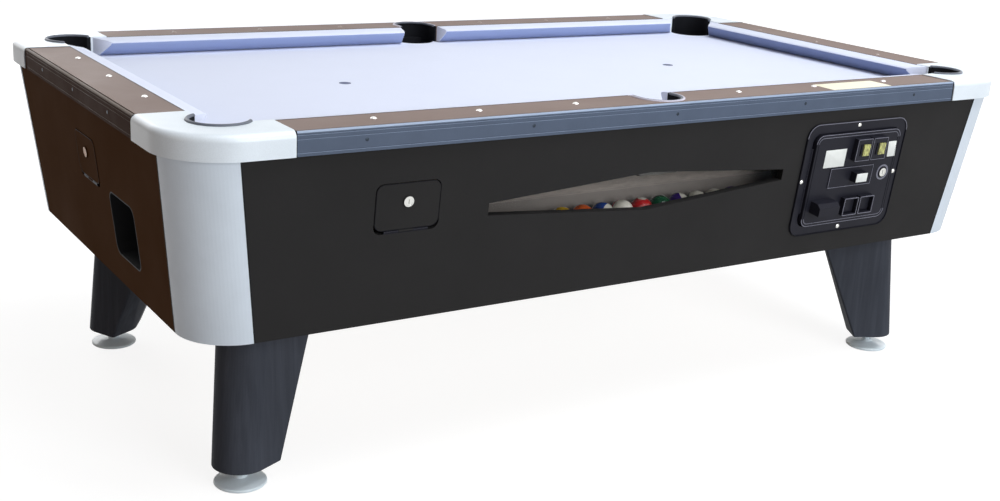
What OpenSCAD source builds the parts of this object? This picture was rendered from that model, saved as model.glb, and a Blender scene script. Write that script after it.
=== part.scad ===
// Coin-operated pool table with a leaning cabinet, wedge legs, a ball window and a coin door.
// Origin on the floor under the middle of the table. +X runs along the length, +Z is up,
// and the long side with the coin door faces -Y.

/* [Table] */
// Length over the corner caps
table_l = 2362; // [2100:1:2700]
// Width over the corner caps
table_w = 1334; // [1200:1:1500]
// Height of the rail tops above the floor
rail_top = 820; // [780:1:880]
// Height of the cushion tops above the cloth
rail_h = 46; // [40:1:60]

/* [Cabinet] */
// Height of the cabinet's underside above the floor
cabinet_bottom = 380; // [340:1:420]
// How far the cabinet's bottom edge stands in from the table's edge
inset_bottom = 58; // [40:1:80]
// How far the cabinet's top edge stands in from the table's edge
inset_top = 14; // [13:0.5:18]
// Thickness of the side and end panels
panel_t = 19; // [15:0.5:24]
// Thickness of the floor board
floor_t = 15; // [9:0.5:20]
// Outer radius of the rounded corner trims
corner_r = 118; // [100:1:120]
// Width of panel face that a corner trim takes up
corner_reach = 121; // [120:1:140]
// Wall of a corner trim
trim_wall = 5; // [3:0.5:8]
// Height of the posts that stiffen the corners
post_h = 205; // [120:1:230]
// Width of a post along each panel
post_w = 161; // [140:1:165]
// Width of a post across the corner
post_deep = 60; // [50:1:70]

/* [Bed] */
// Thickness of the slate
slate_t = 22; // [19:0.5:28]
// Thickness of the cloth
cloth_t = 1; // [0.5:0.1:2]
// Depth of the timber frame under the slate
frame_h = 40; // [30:1:45]
// Width of that frame
frame_w = 115; // [105:1:130]
// Width of the frame's two cross beams
beam_w = 60; // [40:1:90]
// Distance of the cross beams from the middle
beam_x = 400; // [300:1:600]

/* [Rails] */
// Width of a rail from the table's edge to the cushion
rail_w = 112; // [108:1:120]
// Distance of the cushion nose from the table's edge
nose_in = 155; // [150:1:165]
// Height of the cushion nose above the cloth
nose_h = 37; // [34:0.5:40]
// Thickness of the rail trim
trim_t = 10; // [6:0.5:10]
// How far the caps stand proud of the rail trim
cap_proud = 3; // [1:0.5:4]
// How far the trim and caps reach down past the cabinet's top edge
trim_lip = 4; // [2:0.5:8]
// Spacing of the rail bolts
rail_bolt_pitch = 250; // [200:1:260]
// Place of the first rail bolt beside a side pocket
rail_bolt_first = 240; // [200:1:300]
// Distance of the long rails' bolts from the table's edge
rail_bolt_in = 69; // [55:1:80]
// Distance of the end rails' bolts from the table's edge
end_bolt_in = 85; // [60:1:95]

/* [Corner caps] */
// Length of a cap along each side
cap_arm = 243; // [235:1:280]
// How far a cap stands above the rails
cap_rise = 2; // [0:0.5:4]
// Wall of a cap
cap_wall = 6; // [4:0.5:8]
// Radius of a cap's upper outer edge
cap_round = 15; // [5:1:18]

/* [Pockets] */
// Distance of a corner pocket's centre from both edges
pocket_in = 143; // [140:1:150]
// Outer radius of a corner pocket liner
pocket_r = 65.5; // [60:0.5:68]
// Wall of a corner pocket liner
liner_wall = 8; // [4:0.5:9]
// Distance of a side pocket's centre from the edge
side_in = 77; // [76:0.5:82]
// Outer radius of a side pocket liner
side_r = 60; // [55:0.5:62]
// Wall of a side pocket liner
side_wall = 4; // [3:0.5:6]
// Distance of a cushion's nose end from the table's corner
corner_nose = 243; // [240:1:260]
// Distance of a cushion's back end from the table's corner
corner_back = 206; // [204:1:212]
// Distance of a cushion's nose end from the middle of the side pocket
side_nose = 71; // [66:1:80]
// Distance of a cushion's back end from the middle of the side pocket
side_back = 62; // [61:0.5:65]
// Height left for a ball between a run and what is above it
ball_room = 60; // [58.5:0.5:64]

/* [Legs] */
// Distance of a leg's rounded nose from both edges, at the cabinet
leg_top_in = 231.5; // [215:0.5:250]
// Distance of a leg's rounded nose from both edges, at the foot
leg_foot_in = 205.5; // [190:0.5:220]
// Radius of a leg's nose
leg_nose_r = 62; // [50:1:70]
// Reach of a leg's wings along each side, at the cabinet
leg_top_reach = 403; // [380:1:430]
// Reach of a leg's wings along each side, at the foot
leg_foot_reach = 283; // [270:1:310]
// Distance of a wing from the other edge, at the cabinet
leg_top_side = 262; // [250:1:280]
// Distance of a wing from the other edge, at the foot
leg_foot_side = 181; // [170:1:200]
// Height of a leg's underside above the floor
leg_bottom = 46; // [40:1:60]
// Diameter of a levelling foot
foot_d = 116; // [80:1:120]
// Diameter of a levelling stud
stud_d = 16; // [12:1:20]

/* [Ball window] */
// Left end of the window
window_left = -478; // [-520:1:-400]
// Right end of the window
window_right = 380; // [330:1:400]
// Place of the window's widest point
window_mid = -42; // [-120:1:40]
// Heights of the window's upper and lower points
window_high = 656; // [645:1:660]
window_low = 563; // [558:1:575]
// Heights of the window's end edges
window_end_high = 625; // [615:1:635]
window_end_low = 597; // [590:1:605]
// Thickness of the window pane
pane_t = 4; // [3:0.5:6]
// Diameter of a ball
ball_d = 57.15; // [56:0.05:58]

/* [Coin door] */
// Middle of the coin door along the front
door_x = 618; // [605:1:635]
// Middle of the coin door above the floor
door_z = 585.5; // [575:0.5:595]
// Width and height of the coin door
door_w = 300; // [290:1:310]
door_h = 245; // [240:1:255]
// Rounding of the coin door's corners
door_r = 22; // [15:1:30]
// Width of the gap between the coin door and its frame
door_gap = 2; // [1.5:0.1:3]
// Width of the gap on the door's hinge side
hinge_gap = 6; // [5.8:0.1:8]
// Width and height of the coin door frame
frame_plate_w = 355; // [345:1:365]
frame_plate_h = 300; // [290:1:310]
// How far the coin door's face stands out from the panel
door_out = 11; // [10:0.5:14]
// Wall of the coin door and its frame
door_wall = 3; // [2:0.5:4]

/* [Access doors] */
// Width of an access door
access_w = 150; // [120:1:160]
// Height of an access door
access_h = 102; // [90:1:110]
// Middle of the front access door along the front
access_x = -677; // [-700:1:-660]
// Middle of the access doors above the floor
access_z = 641; // [630:1:650]
// Height of a lock above the middle of an access door
access_lock_up = 10; // [0:1:20]

/* [Ball return] */
// Width and height of the cue ball opening in the left end
cup_w = 172; // [150:1:190]
cup_h = 147; // [120:1:160]
// Middle of the cue ball opening, from the table's long axis towards the front
cup_x = 224; // [200:1:240]
// Middle of the cue ball opening above the floor
cup_z = 524.5; // [515:0.5:535]
// Rounding of the cue ball opening's corners
cup_r = 25; // [10:1:40]
// Depth of the cue ball cup
cup_d = 150; // [120:1:180]

/* [Hidden] */
$fn = 64;

// Colours
laminate = [0.16, 0.155, 0.15];
silver = [0.75, 0.76, 0.78];
taupe = [0.52, 0.46, 0.42];
slate_grey = [0.39, 0.44, 0.49];
pale_cloth = [0.80, 0.83, 0.95];
black = [0.06, 0.06, 0.07];
timber = [0.72, 0.58, 0.40];
nickel = [0.78, 0.78, 0.76];

// Clearances: face to face, drilled hole, running fit, and a fit between two rounded pieces
seat = 0.3;
drill = 0.4;
running = 0.05;
slip = 0.5;
through = 1;
slice = 0.1;

half_l = table_l / 2;
half_w = table_w / 2;
bed = rail_top - rail_h;
lean = atan((inset_bottom - inset_top) / (bed - cabinet_bottom));
floor_top = cabinet_bottom + floor_t;
slate_top = bed - cloth_t;
slate_bottom = slate_top - slate_t;
frame_bottom = slate_bottom - frame_h;
wall_deep = panel_t / cos(lean);

// Inset of the cabinet's outer face at a height, and the height along a leaning face
function inset_at(z) = inset_bottom - (z - cabinet_bottom) * tan(lean);
function up(z) = (z - cabinet_bottom) / cos(lean);
// Distance from the middle to the inner face of a wall, at a height
function inside(half, z) = half - inset_at(z) - wall_deep;

inner_r = corner_r - wall_deep - slip;
cap_top = rail_top + cap_rise;
trim_in = cap_proud + trim_t;
rail_joint = 1.2;
pocket_hole = pocket_r + slip;
side_hole = side_r + slip;
pocket_wall = pocket_hole + cap_wall;
tongue_l = cap_arm - pocket_in - pocket_wall - 1;
frame_screw_r = 4;
head_r = 7;
head_h = 3.5;
head_dome = (head_r * head_r + head_h * head_h) / (2 * head_h);
trim_round = trim_t / 2;
cushion_lift = 2;
cushion_crown = 3;
nose_bevel = 2;
nose_under = 6;
cushion_foot = 14;
ledge_t = 3;
wing_r = 6;
insert_r = 12;
insert_l = 60;
flange_r = 22;
flange_t = 3;
stud_room = 26;
nut_h = 10;
nut_r = 15;
foot_edge = 7;
foot_bevel = 2;
foot_dome = 13;
foot_boss = 20;
stud_short = 2;
rail_bolt_short = 4;
pane_margin = 8;
ear_t = 4;

// Ball boots and runs
wall_gap = 2;
corner_tube_bottom = frame_bottom - 12;
side_tube_bottom = frame_bottom - 2;
corner_run_z = corner_tube_bottom - ball_room;
side_run_z = side_tube_bottom - ball_room;
boot_floor = 8;
side_flat = half_w - inside(half_w, side_tube_bottom) + wall_gap;
boot_flat = half_w - inside(half_w, side_run_z - boot_floor) + pane_t + wall_gap;
run_wall = 4;
run_w = ball_d + 6;
run_h = 30;
run_past = 16;
tray_w = 190;
tray_l = 690;
tray_floor = 590;
tray_h = 62;
tray_post_in = 40;
corner_drop = 34;
side_drop = 15;
corner_run_in = 165;
corner_run_y = tray_l / 2 - corner_run_in;
cue_run_y = 40;
cue_end_up = 40;
elbow_x = 560;
elbow_y = 400;
elbow_drop = 34;
chute_over = 34;
chute_up = 24;
gate_in = 45;
gate_y = tray_l / 2 - gate_in;
gate_w = 40;
gate_h = 48;
gate_pin_r = 2;
gate_pin_z = tray_floor + gate_h + 7;
gate_barrel_r = 4.5;
gate_t = 2.5;
gate_x = -tray_w / 2 - gate_barrel_r - slip;

// Ball rack behind the window
rack_floor = 518;
ball_y = -(inside(half_w, rack_floor + ball_d / 2) - pane_t - ball_d / 2 - 3);
rack_front = -(inside(half_w, rack_floor - 8) - pane_t - 1);
rack_left = -520;
rack_entry = 78;
rack_clear = 22;
rack_right = door_x - door_w / 2 - rack_clear;
rack_t = 4;
rack_knee = [14, 72];
rack_rim = [60, 98];
ball_gap = 2;
post_t = 24;
ball_pitch = ball_d + 0.15;
window_ball = 220;
hidden_balls = 3;
row_balls = 9;
lone_ball = -357;

// Coin door
door_left = door_x - door_w / 2;
frame_left = 1;
frame_x = door_x - frame_left;
frame_out = 3;
frame_rim = 2;
frame_r = 35;
opening_w = door_w + hinge_gap + door_gap;
opening_h = door_h + 2 * door_gap;
opening_x = door_x - (hinge_gap - door_gap) / 2;
hinge_r = 2.6;
pin_r = 1.2;
door_back = -4;
hinge_n = 2.5;
hinge_x = door_left - hinge_gap / 2;
knuckle_l = 34;
knuckle_gap = 0.6;
lock_right = 112;
lock_up = 5;
lock_x = door_x + lock_right;
lock_z = door_z + lock_up;
plug_r = 9;
plug_behind = 5;
plug_out = 2.5;
housing_r = 14;
housing_over = 2;
key_w = 2;
key_l = 10;
key_deep = 3;
cam_t = 3;
cam_w = 16;
cam_l = 60;
button_travel = 3;
button_w = 22;
button_h = 30;
bezel_w = 51;
bezel_h = 58;
bezel_out = 15;
bezel_right = 8;
bezel_pitch = 56.5;
bezel_up = 78;
bezel_x = [door_x + bezel_right, door_x + bezel_right + bezel_pitch];
bezel_z = door_z + bezel_up;
button_x = 7;
button_out = 3;
mouth_w = 50;
mouth_h = 47;
mouth_right = 4;
mouth_pitch = 57;
mouth_down = 75;
mouth_x = [door_x + mouth_right, door_x + mouth_right + mouth_pitch];
mouth_z = door_z - mouth_down;
mouth_out = 15;
mouth_wall = 3;
mouth_deep = 34;
flap_t = 2;
flap_pin_r = 1.5;
flap_hinge = 5;
flap_n = door_out + 3;
flap_v = up(mouth_z) + mouth_h / 2 - mouth_wall - flap_hinge;
snout_w = 71;
snout_h = 31;
snout_out = 34;
snout_left = 92.5;
snout_down = 67.5;
snout_x = door_x - snout_left;
snout_z = door_z - snout_down;
plate_w = 153;
plate_h = 52;
plate_left = 5;
plate_up = 4;
plate_x = door_x - plate_left;
plate_z = door_z + plate_up;
plate_out = 2;
box_w = 41;
box_h = 25;
box_right = 14.5;
box_up = 5.5;
box_x = door_x + box_right;
box_z = door_z + box_up;
box_out = 21.5;
slot_x = -12;
slot_w = 4;
slot_h = 32;
mech_w = 48;
mech_h = 94;
mech_d = 70;
mech_up = 59;
mech_z = door_z + mech_up;
mech_front = -2;
mech_side = 5;
coin_bolt_r = 3;
bolt_head_r = 6;
bolt_head_h = 2.5;
screw_short = 3;
bolt_dome = (bolt_head_r * bolt_head_r + bolt_head_h * bolt_head_h) / (2 * bolt_head_h);
rim_w = 2;
web_t = 1.6;
cash_w = 240;
cash_d = 150;
cash_h = 66;
cash_wall = 2;
cup_flange = 18;
cup_floor = cup_z - cup_h / 2;

// Access doors
access_r = 18;
access_gap = 1.5;
access_face = 1;
access_plate = 4;
access_housing_r = 13;
access_hinge_gap = 8;
leaf_gap = 0.4;
cam_catch = 14;
cam_reach = access_h / 2 - access_lock_up + cam_catch;
access_hinge_z = -access_h / 2 - access_hinge_gap / 2;
access_hinge_n = -1.6;

corners = [["front_left", -1, -1], ["front_right", 1, -1], ["back_left", -1, 1], ["back_right", 1, 1]];

// Puts a shape drawn at a corner, with +X and +Y pointing inwards, at one of the four corners
module at_corner(c)
    translate([c[1] * half_l, c[2] * half_w, 0])
        mirror([c[1] > 0 ? 1 : 0, 0, 0]) mirror([0, c[2] > 0 ? 1 : 0, 0]) children();

// Puts a shape drawn along an edge, with +Y pointing inwards, at a side of the table
module on_edge(side)
    rotate(side == "front" ? 0 : side == "back" ? 180 : side == "left" ? -90 : 90)
        translate([0, -(side == "front" || side == "back" ? half_w : half_l), 0]) children();

// Puts a shape drawn on a leaning face, with +Y up the face and +Z outwards, on a side
module on_face(side)
    on_edge(side) translate([0, inset_bottom, cabinet_bottom]) rotate([90 + lean, 0, 0]) children();

// A rectangle with round corners, centred
module round_rect(w, h, r) {
    square([w - 2 * r, h], center = true);
    square([w, h - 2 * r], center = true);
    for (x = [-1, 1], y = [-1, 1])
        translate([x * (w / 2 - r), y * (h / 2 - r)]) circle(r);
}

// A plate with round corners on a face, from depth n0 to n1
module face_plate(x, z, w, h, r, n0, n1)
    translate([x, up(z), n0]) linear_extrude(n1 - n0) round_rect(w, h, r);

// A sharp block on a face, from depth n0 to n1
module face_block(x, z, w, h, n0, n1)
    translate([x - w / 2, up(z) - h / 2, n0]) cube([w, h, n1 - n0]);

// A leaning solid at a corner, with one outline at both heights
module leaning(z0, z1)
    hull() {
        translate([inset_at(z0), inset_at(z0), z0]) linear_extrude(slice) children();
        translate([inset_at(z1), inset_at(z1), z1 - slice]) linear_extrude(slice) children();
    }

function arc(r, from, to, steps) =
    [for (i = [0 : steps]) r * [cos(from + (to - from) * i / steps), sin(from + (to - from) * i / steps)]];

// Outline of the cabinet's corner at a depth behind its outer faces
module corner_outline(depth, reach)
    polygon(concat(
        [[reach, reach], [depth, reach]],
        [for (p = arc(corner_r - depth, 180, 270, 24)) p + [corner_r, corner_r]],
        [[reach, depth]]));

// Horizontal slab that trims the panels to the cabinet's height
module cabinet_slab()
    translate([-table_l, -table_l, cabinet_bottom]) cube([2 * table_l, 2 * table_l, bed - cabinet_bottom]);

// Panel of a side, as a board that leans with its face and is cut level at the top and bottom
module panel_on(side, half)
    intersection() {
        on_face(side) translate([0, 0, -panel_t]) linear_extrude(panel_t) panel_outline(half);
        cabinet_slab();
    }

// Trapezoid between the corner trims, a little taller than the panel
module panel_outline(half) {
    low = -2 * through;
    high = up(bed) + 5 * through;
    bottom = half - inset_bottom - corner_reach;
    flare = (inset_bottom - inset_top) / up(bed);
    polygon([
        [-bottom - low * flare, low], [bottom + low * flare, low],
        [bottom + high * flare, high], [-bottom - high * flare, high]]);
}

// Six-sided opening that is widest in the middle
module window_outline()
    polygon([
        [window_left, up(window_end_low)], [window_mid, up(window_low)],
        [window_right, up(window_end_low)], [window_right, up(window_end_high)],
        [window_mid, up(window_high)], [window_left, up(window_end_high)]]);

// Opening around the coin door, grown by a margin, from depth n0 to n1
module coin_opening(margin, n0, n1)
    face_plate(opening_x, door_z, opening_w + 2 * margin, opening_h + 2 * margin,
        door_r + door_gap + margin, n0, n1);

// Places of the four screws, in the middle of the coin door frame's flat borders
coin_bolt_x = [
    (opening_x - opening_w / 2 - door_wall + frame_x - frame_plate_w / 2 + rim_w) / 2,
    (opening_x + opening_w / 2 + door_wall + frame_x + frame_plate_w / 2 - rim_w) / 2
];
coin_bolt_up = (opening_h / 2 + door_wall + frame_plate_h / 2 - rim_w) / 2;
coin_bolt_places = [
    [frame_x, door_z + coin_bolt_up], [frame_x, door_z - coin_bolt_up],
    [coin_bolt_x[0], door_z], [coin_bolt_x[1], door_z]
];

// Access door opening with room below for the hinge
module access_hole(x)
    face_plate(x, access_z - (access_hinge_gap - access_gap) / 2, access_w + 2 * access_gap,
        access_h + access_gap + access_hinge_gap, access_r, -panel_t - through, through);

module front_panel()
    color(laminate) difference() {
        panel_on("front", half_l);
        on_face("front") {
            translate([0, 0, -panel_t - through]) linear_extrude(panel_t + 2 * through) window_outline();
            coin_opening(door_wall + slip, -panel_t - through, through);
            access_hole(access_x);
            for (b = coin_bolt_places) translate([b[0], up(b[1]), seat - panel_t + screw_short - through])
                cylinder(r = coin_bolt_r + drill, h = panel_t);
        }
    }

module back_panel() color(laminate) panel_on("back", half_l);

module left_end_panel()
    color(laminate) difference() {
        panel_on("left", half_w);
        on_face("left") {
            face_plate(cup_x, cup_z, cup_w, cup_h, cup_r, -panel_t - through, through);
            access_hole(0);
        }
    }

module right_end_panel() color(laminate) panel_on("right", half_w);

// Board with round corners that fits inside the walls at a height
module board(z, h, gap)
    translate([0, 0, z]) linear_extrude(h)
        round_rect(2 * (inside(half_l, z) - gap), 2 * (inside(half_w, z) - gap), inner_r);

leg_bolt_in = 13;
leg_bolt_along = 68;
leg_bolts_at = [
    [leg_top_in + leg_bolt_in, leg_top_in + leg_bolt_in],
    [leg_top_side + leg_bolt_along, leg_top_side],
    [leg_top_side, leg_top_side + leg_bolt_along]
];
leg_bolt_r = 5;
leg_bolt_l = 60;
washer_r = 14;
washer_t = 2.5;
leg_head_r = 9;
leg_head_h = 5;

module leg_bolt_holes(z, h, r)
    for (c = corners) at_corner(c) for (p = leg_bolts_at) translate([p[0], p[1], z]) cylinder(r = r, h = h);

module cabinet_floor()
    color(timber) difference() {
        board(cabinet_bottom, floor_t, seat);
        leg_bolt_holes(cabinet_bottom - through, floor_t + 2 * through, leg_bolt_r + drill);
    }

module corner_posts()
    color(timber) for (c = corners) at_corner(c)
        leaning(floor_top, floor_top + post_h)
            polygon(concat(
                [[post_w, post_deep], [post_deep, post_w], [wall_deep + seat, post_w]],
                [for (p = arc(inner_r, 180, 270, 6)) p + [corner_r, corner_r]],
                [[post_w, wall_deep + seat]]));

module corner_trim(c)
    color(silver) at_corner(c) difference() {
        leaning(cabinet_bottom, bed) corner_outline(0, corner_reach - seat);
        leaning(cabinet_bottom - through, bed + through) corner_outline(trim_wall, corner_reach + through);
    }

// Openings for the six pockets, with room around each liner. The side pockets run open
// from one distance from the edge to another.
module pocket_cuts(z, h, gap, from, to) {
    for (c = corners) at_corner(c)
        translate([pocket_in, pocket_in, z]) cylinder(r = pocket_r + gap, h = h);
    for (side = ["front", "back"]) on_edge(side) {
        translate([0, side_in, z]) cylinder(r = side_r + gap, h = h);
        translate([-side_r - gap, from, z]) cube([2 * (side_r + gap), to - from, h]);
    }
}

// Straight notches around the pockets, which the liners' collars fill in the slate
module pocket_notches(z, h) {
    for (c = corners) at_corner(c)
        translate([0, 0, z]) cube([pocket_in + pocket_hole, pocket_in + pocket_hole, h]);
    for (side = ["front", "back"]) on_edge(side)
        translate([-side_hole, 0, z]) cube([2 * side_hole, side_in + side_hole, h]);
}

rail_bolt_places = [for (s = [-1, 1], i = [0 : 2]) s * (rail_bolt_first + i * rail_bolt_pitch)];
end_bolt_places = [for (i = [-1 : 1]) i * rail_bolt_pitch];

module rail_bolt_holes(z, h, r) {
    for (side = ["front", "back"], x = rail_bolt_places)
        on_edge(side) translate([x, rail_bolt_in, z]) cylinder(r = r, h = h);
    for (side = ["left", "right"], x = end_bolt_places)
        on_edge(side) translate([x, end_bolt_in, z]) cylinder(r = r, h = h);
}

module slate_frame()
    color(timber) difference() {
        board(frame_bottom, frame_h, seat);
        difference() {
            translate([0, 0, frame_bottom - through]) linear_extrude(frame_h + 2 * through)
                square([for (half = [half_l, half_w]) 2 * (inside(half, frame_bottom) - frame_w)],
                    center = true);
            for (x = [-1, 1]) translate([x * beam_x - beam_w / 2, -half_w, frame_bottom - 2 * through])
                cube([beam_w, table_w, frame_h + 4 * through]);
        }
        pocket_notches(frame_bottom - through, frame_h + 2 * through);
        rail_bolt_holes(frame_bottom - through, frame_h + 2 * through, frame_screw_r + drill);
    }

cleat_t = 24;
cleat_h = 38;
cleat_past = 30;
cleat_from = side_r + cleat_past;
cleat_to = 900;
cleat_room = 10;

// Stretches of cleat along each side, which leave room for the front lock's cam and the coin door
cleat_spans = [
    ["front", -cleat_to, access_x - cam_reach - cleat_room],
    ["front", access_x + cam_reach + cleat_room, -cleat_from],
    ["front", cleat_from, door_left - 2 * cleat_room],
    ["back", -cleat_to, -cleat_from], ["back", cleat_from, cleat_to]
];

module support_cleats()
    color(timber) for (c = cleat_spans) on_edge(c[0]) {
        low = frame_bottom - cleat_h;
        translate([c[1], half_w - inside(half_w, low) + seat, low]) cube([c[2] - c[1], cleat_t, cleat_h]);
    }

slate_gap = 4;
module slate()
    color([0.35, 0.37, 0.38]) difference() {
        board(slate_bottom, slate_t, slate_gap);
        pocket_notches(slate_bottom - through, slate_t + 2 * through);
        rail_bolt_holes(slate_bottom - through, slate_t + 2 * through, frame_screw_r + drill);
    }

module bed_cloth()
    color(pale_cloth) difference() {
        translate([0, 0, slate_top]) linear_extrude(cloth_t)
            round_rect(2 * (inside(half_l, slate_bottom) - slate_gap),
                2 * (inside(half_w, slate_bottom) - slate_gap), inner_r);
        pocket_cuts(slate_top - through, cloth_t + 2 * through, slip, 0, side_in);
        rail_bolt_holes(slate_top - through, cloth_t + 2 * through, frame_screw_r + drill);
    }

// Rail board along an edge, with a tongue at each end that carries a corner cap
module rail_board(half) {
    ends = half - cap_arm - rail_joint;
    tongue_h = cap_top - cap_wall - bed;
    translate([-ends, trim_in, bed]) cube([2 * ends, rail_w - trim_in, rail_h]);
    for (s = [-1, 1])
        translate([s * (ends + tongue_l / 2) - tongue_l / 2, cap_wall + slip, bed])
            cube([tongue_l, rail_w - 2 * (cap_wall + slip), tongue_h]);
}

module rail(side, half)
    color(taupe) difference() {
        on_edge(side) rail_board(half);
        pocket_cuts(bed - through, rail_h + 2 * through, slip, side_in, rail_w + through);
        rail_bolt_holes(bed - through, rail_h + 2 * through, frame_screw_r + drill);
    }

// Section of the rail trim, from its outer face inwards
module trim_section() {
    h = rail_h + trim_lip;
    translate([0, -trim_lip]) square([trim_t, h - trim_round]);
    translate([trim_round, -trim_lip]) square([trim_t - trim_round, h]);
    translate([trim_round, rail_h - trim_round]) circle(trim_round);
}

module rail_trims()
    color(slate_grey) for (e = [["front", half_l], ["back", half_l], ["left", half_w], ["right", half_w]]) {
        ends = e[1] - cap_arm - rail_joint;
        on_edge(e[0]) translate([-ends, cap_proud, bed]) rotate([90, 0, 90])
            linear_extrude(2 * ends) trim_section();
    }

// Section of a corner cap, from its outer face inwards
module cap_section() {
    translate([0, bed - trim_lip]) square([cap_wall, trim_lip + through]);
    translate([0, bed]) square([rail_w, cap_top - cap_round - bed]);
    translate([cap_round, bed]) square([rail_w - cap_round, cap_top - bed]);
    translate([cap_round, cap_top - cap_round]) circle(cap_round);
}

// Section of the hollow under a corner cap
module cap_hollow()
    translate([cap_wall, bed - trim_lip - through])
        square([rail_w - 2 * cap_wall, cap_top - cap_wall - bed + trim_lip + through]);

// Carries a section along both arms of a cap and around its rounded corner
module cap_sweep(extra) {
    for (turn = [[0, 0, 0], [1, -1, 0]])
        mirror(turn) translate([pocket_in, 0, 0]) rotate([90, 0, 90])
            linear_extrude(cap_arm - pocket_in + extra) children();
    translate([pocket_in, pocket_in, 0]) rotate(180) rotate_extrude(angle = 90)
        translate([pocket_in, 0]) mirror([1, 0]) children();
}

module corner_cap(c)
    color([0.9, 0.92, 0.93]) at_corner(c) difference() {
        cap_sweep(0) cap_section();
        difference() {
            cap_sweep(through) cap_hollow();
            translate([pocket_in, pocket_in, 0]) cylinder(r = pocket_wall, h = rail_top + cap_round);
        }
        translate([pocket_in, pocket_in, 0]) cylinder(r = pocket_hole, h = rail_top + cap_round);
    }

// Section of a cushion, from the table's edge inwards
module cushion_section()
    polygon([
        [rail_w + seat, bed + cushion_lift], [rail_w + seat, rail_top - seat],
        [(rail_w + nose_in) / 2, rail_top - cushion_crown], [nose_in - nose_bevel, bed + nose_h + nose_bevel],
        [nose_in, bed + nose_h], [nose_in - nose_bevel, bed + nose_h - nose_under],
        [rail_w + cushion_foot, bed + cushion_lift]]);

// Cushion along an edge, cut at both ends by the pocket facings
module cushion(nose_a, back_a, nose_b, back_b)
    intersection() {
        translate([-half_l, 0, 0]) rotate([90, 0, 90]) linear_extrude(table_l) cushion_section();
        linear_extrude(rail_top + through)
            polygon([[back_a, rail_w], [nose_a, nose_in], [nose_a, nose_in + through],
                [nose_b, nose_in + through], [nose_b, nose_in], [back_b, rail_w]]);
    }

module end_cushions()
    color(pale_cloth) for (side = ["left", "right"]) on_edge(side)
        cushion(corner_nose - half_w, corner_back - half_w, half_w - corner_nose, half_w - corner_back);

module side_cushions()
    color(pale_cloth) for (side = ["front", "back"], s = [0, 1]) on_edge(side) mirror([s, 0, 0])
        cushion(side_nose, side_back, half_l - corner_nose, half_l - corner_back);

// Liner with a full ring below the bed, a square collar in the slate's notch, and a lip
// above the bed that is open towards it
module corner_pocket_liners()
    color(black) for (c = corners) at_corner(c) difference() {
        union() {
            translate([pocket_in, pocket_in, corner_tube_bottom])
                cylinder(r = pocket_r, h = rail_top + 1 - corner_tube_bottom);
            translate([pocket_in - pocket_r, pocket_in - pocket_r, slate_bottom])
                cube([2 * pocket_r, 2 * pocket_r, slate_t]);
        }
        translate([pocket_in, pocket_in, corner_tube_bottom - through])
            cylinder(r = pocket_r - liner_wall, h = rail_top - corner_tube_bottom + 3 * through);
        translate([rail_w - slip, rail_w - slip, bed]) cube([half_w, half_w, rail_h + 3 * through]);
    }

// Outline of a side pocket's lip: a round back with straight walls up to the rail's inner edge
module side_lip(r, to)
    intersection() {
        union() {
            translate([0, side_in]) circle(r);
            translate([-r, side_in]) square([2 * r, to - side_in]);
        }
        translate([-r, 0]) square([2 * r, to]);
    }

// Round tube with a flat side that clears the cabinet wall
module side_tube(r, flat, z, h)
    intersection() {
        translate([0, side_in, z]) cylinder(r = r, h = h);
        translate([-r, flat, z]) cube([2 * r, 3 * r, h]);
    }

module side_pocket_liners()
    color(black) for (side = ["front", "back"]) on_edge(side) {
        difference() {
            union() {
                side_tube(side_r, side_flat, side_tube_bottom, bed - side_tube_bottom);
                translate([-side_r, side_flat, slate_bottom])
                    cube([2 * side_r, side_in + side_r - side_flat, slate_t]);
            }
            side_tube(side_r - side_wall, side_flat + side_wall, side_tube_bottom - through,
                bed - side_tube_bottom + 2 * through);
        }
        translate([0, 0, bed]) linear_extrude(rail_h) difference() {
            side_lip(side_r, rail_w - slip);
            side_lip(side_r - side_wall, rail_w);
        }
        translate([0, 0, bed]) linear_extrude(ledge_t) intersection() {
            translate([0, side_in]) circle(side_r);
            translate([-side_r, 0]) square([2 * side_r, side_flat + side_wall]);
        }
    }

// Leg as a wedge with its rounded nose at the table's corner
module leg_blank()
    hull() {
        for (p = [[leg_foot_in, leg_foot_reach, leg_foot_side, leg_bottom],
                [leg_top_in, leg_top_reach, leg_top_side, cabinet_bottom - slice]]) {
            translate([p[0], p[0], p[3]]) cylinder(r = leg_nose_r, h = slice);
            for (wing = [[p[1], p[2]], [p[2], p[1]]])
                translate([wing[0], wing[1], p[3]]) cylinder(r = wing_r, h = slice, $fn = 32);
        }
    }

module leg(c)
    color(laminate) difference() {
        at_corner(c) difference() {
            leg_blank();
            translate([leg_foot_in, leg_foot_in, leg_bottom - through]) {
                cylinder(r = insert_r + drill, h = insert_l + stud_room);
                cylinder(r = flange_r + drill, h = flange_t + through);
            }
        }
        leg_bolt_holes(cabinet_bottom - leg_bolt_l - through, leg_bolt_l + 2 * through, leg_bolt_r + drill);
    }

module leg_inserts()
    color(nickel) for (c = corners) at_corner(c)
        translate([leg_foot_in, leg_foot_in, leg_bottom]) difference() {
        union() {
            cylinder(r = insert_r, h = insert_l);
            cylinder(r = flange_r, h = flange_t);
        }
        translate([0, 0, -through]) cylinder(r = stud_d / 2 + running, h = insert_l + 2 * through);
    }

module leg_bolts()
    color(nickel) for (c = corners) at_corner(c) for (p = leg_bolts_at) translate([p[0], p[1], 0]) {
        translate([0, 0, cabinet_bottom - leg_bolt_l]) cylinder(r = leg_bolt_r, h = leg_bolt_l + floor_t);
        translate([0, 0, floor_top]) cylinder(r = washer_r, h = washer_t);
        translate([0, 0, floor_top + washer_t]) cylinder(r = leg_head_r, h = leg_head_h, $fn = 6);
    }

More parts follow.
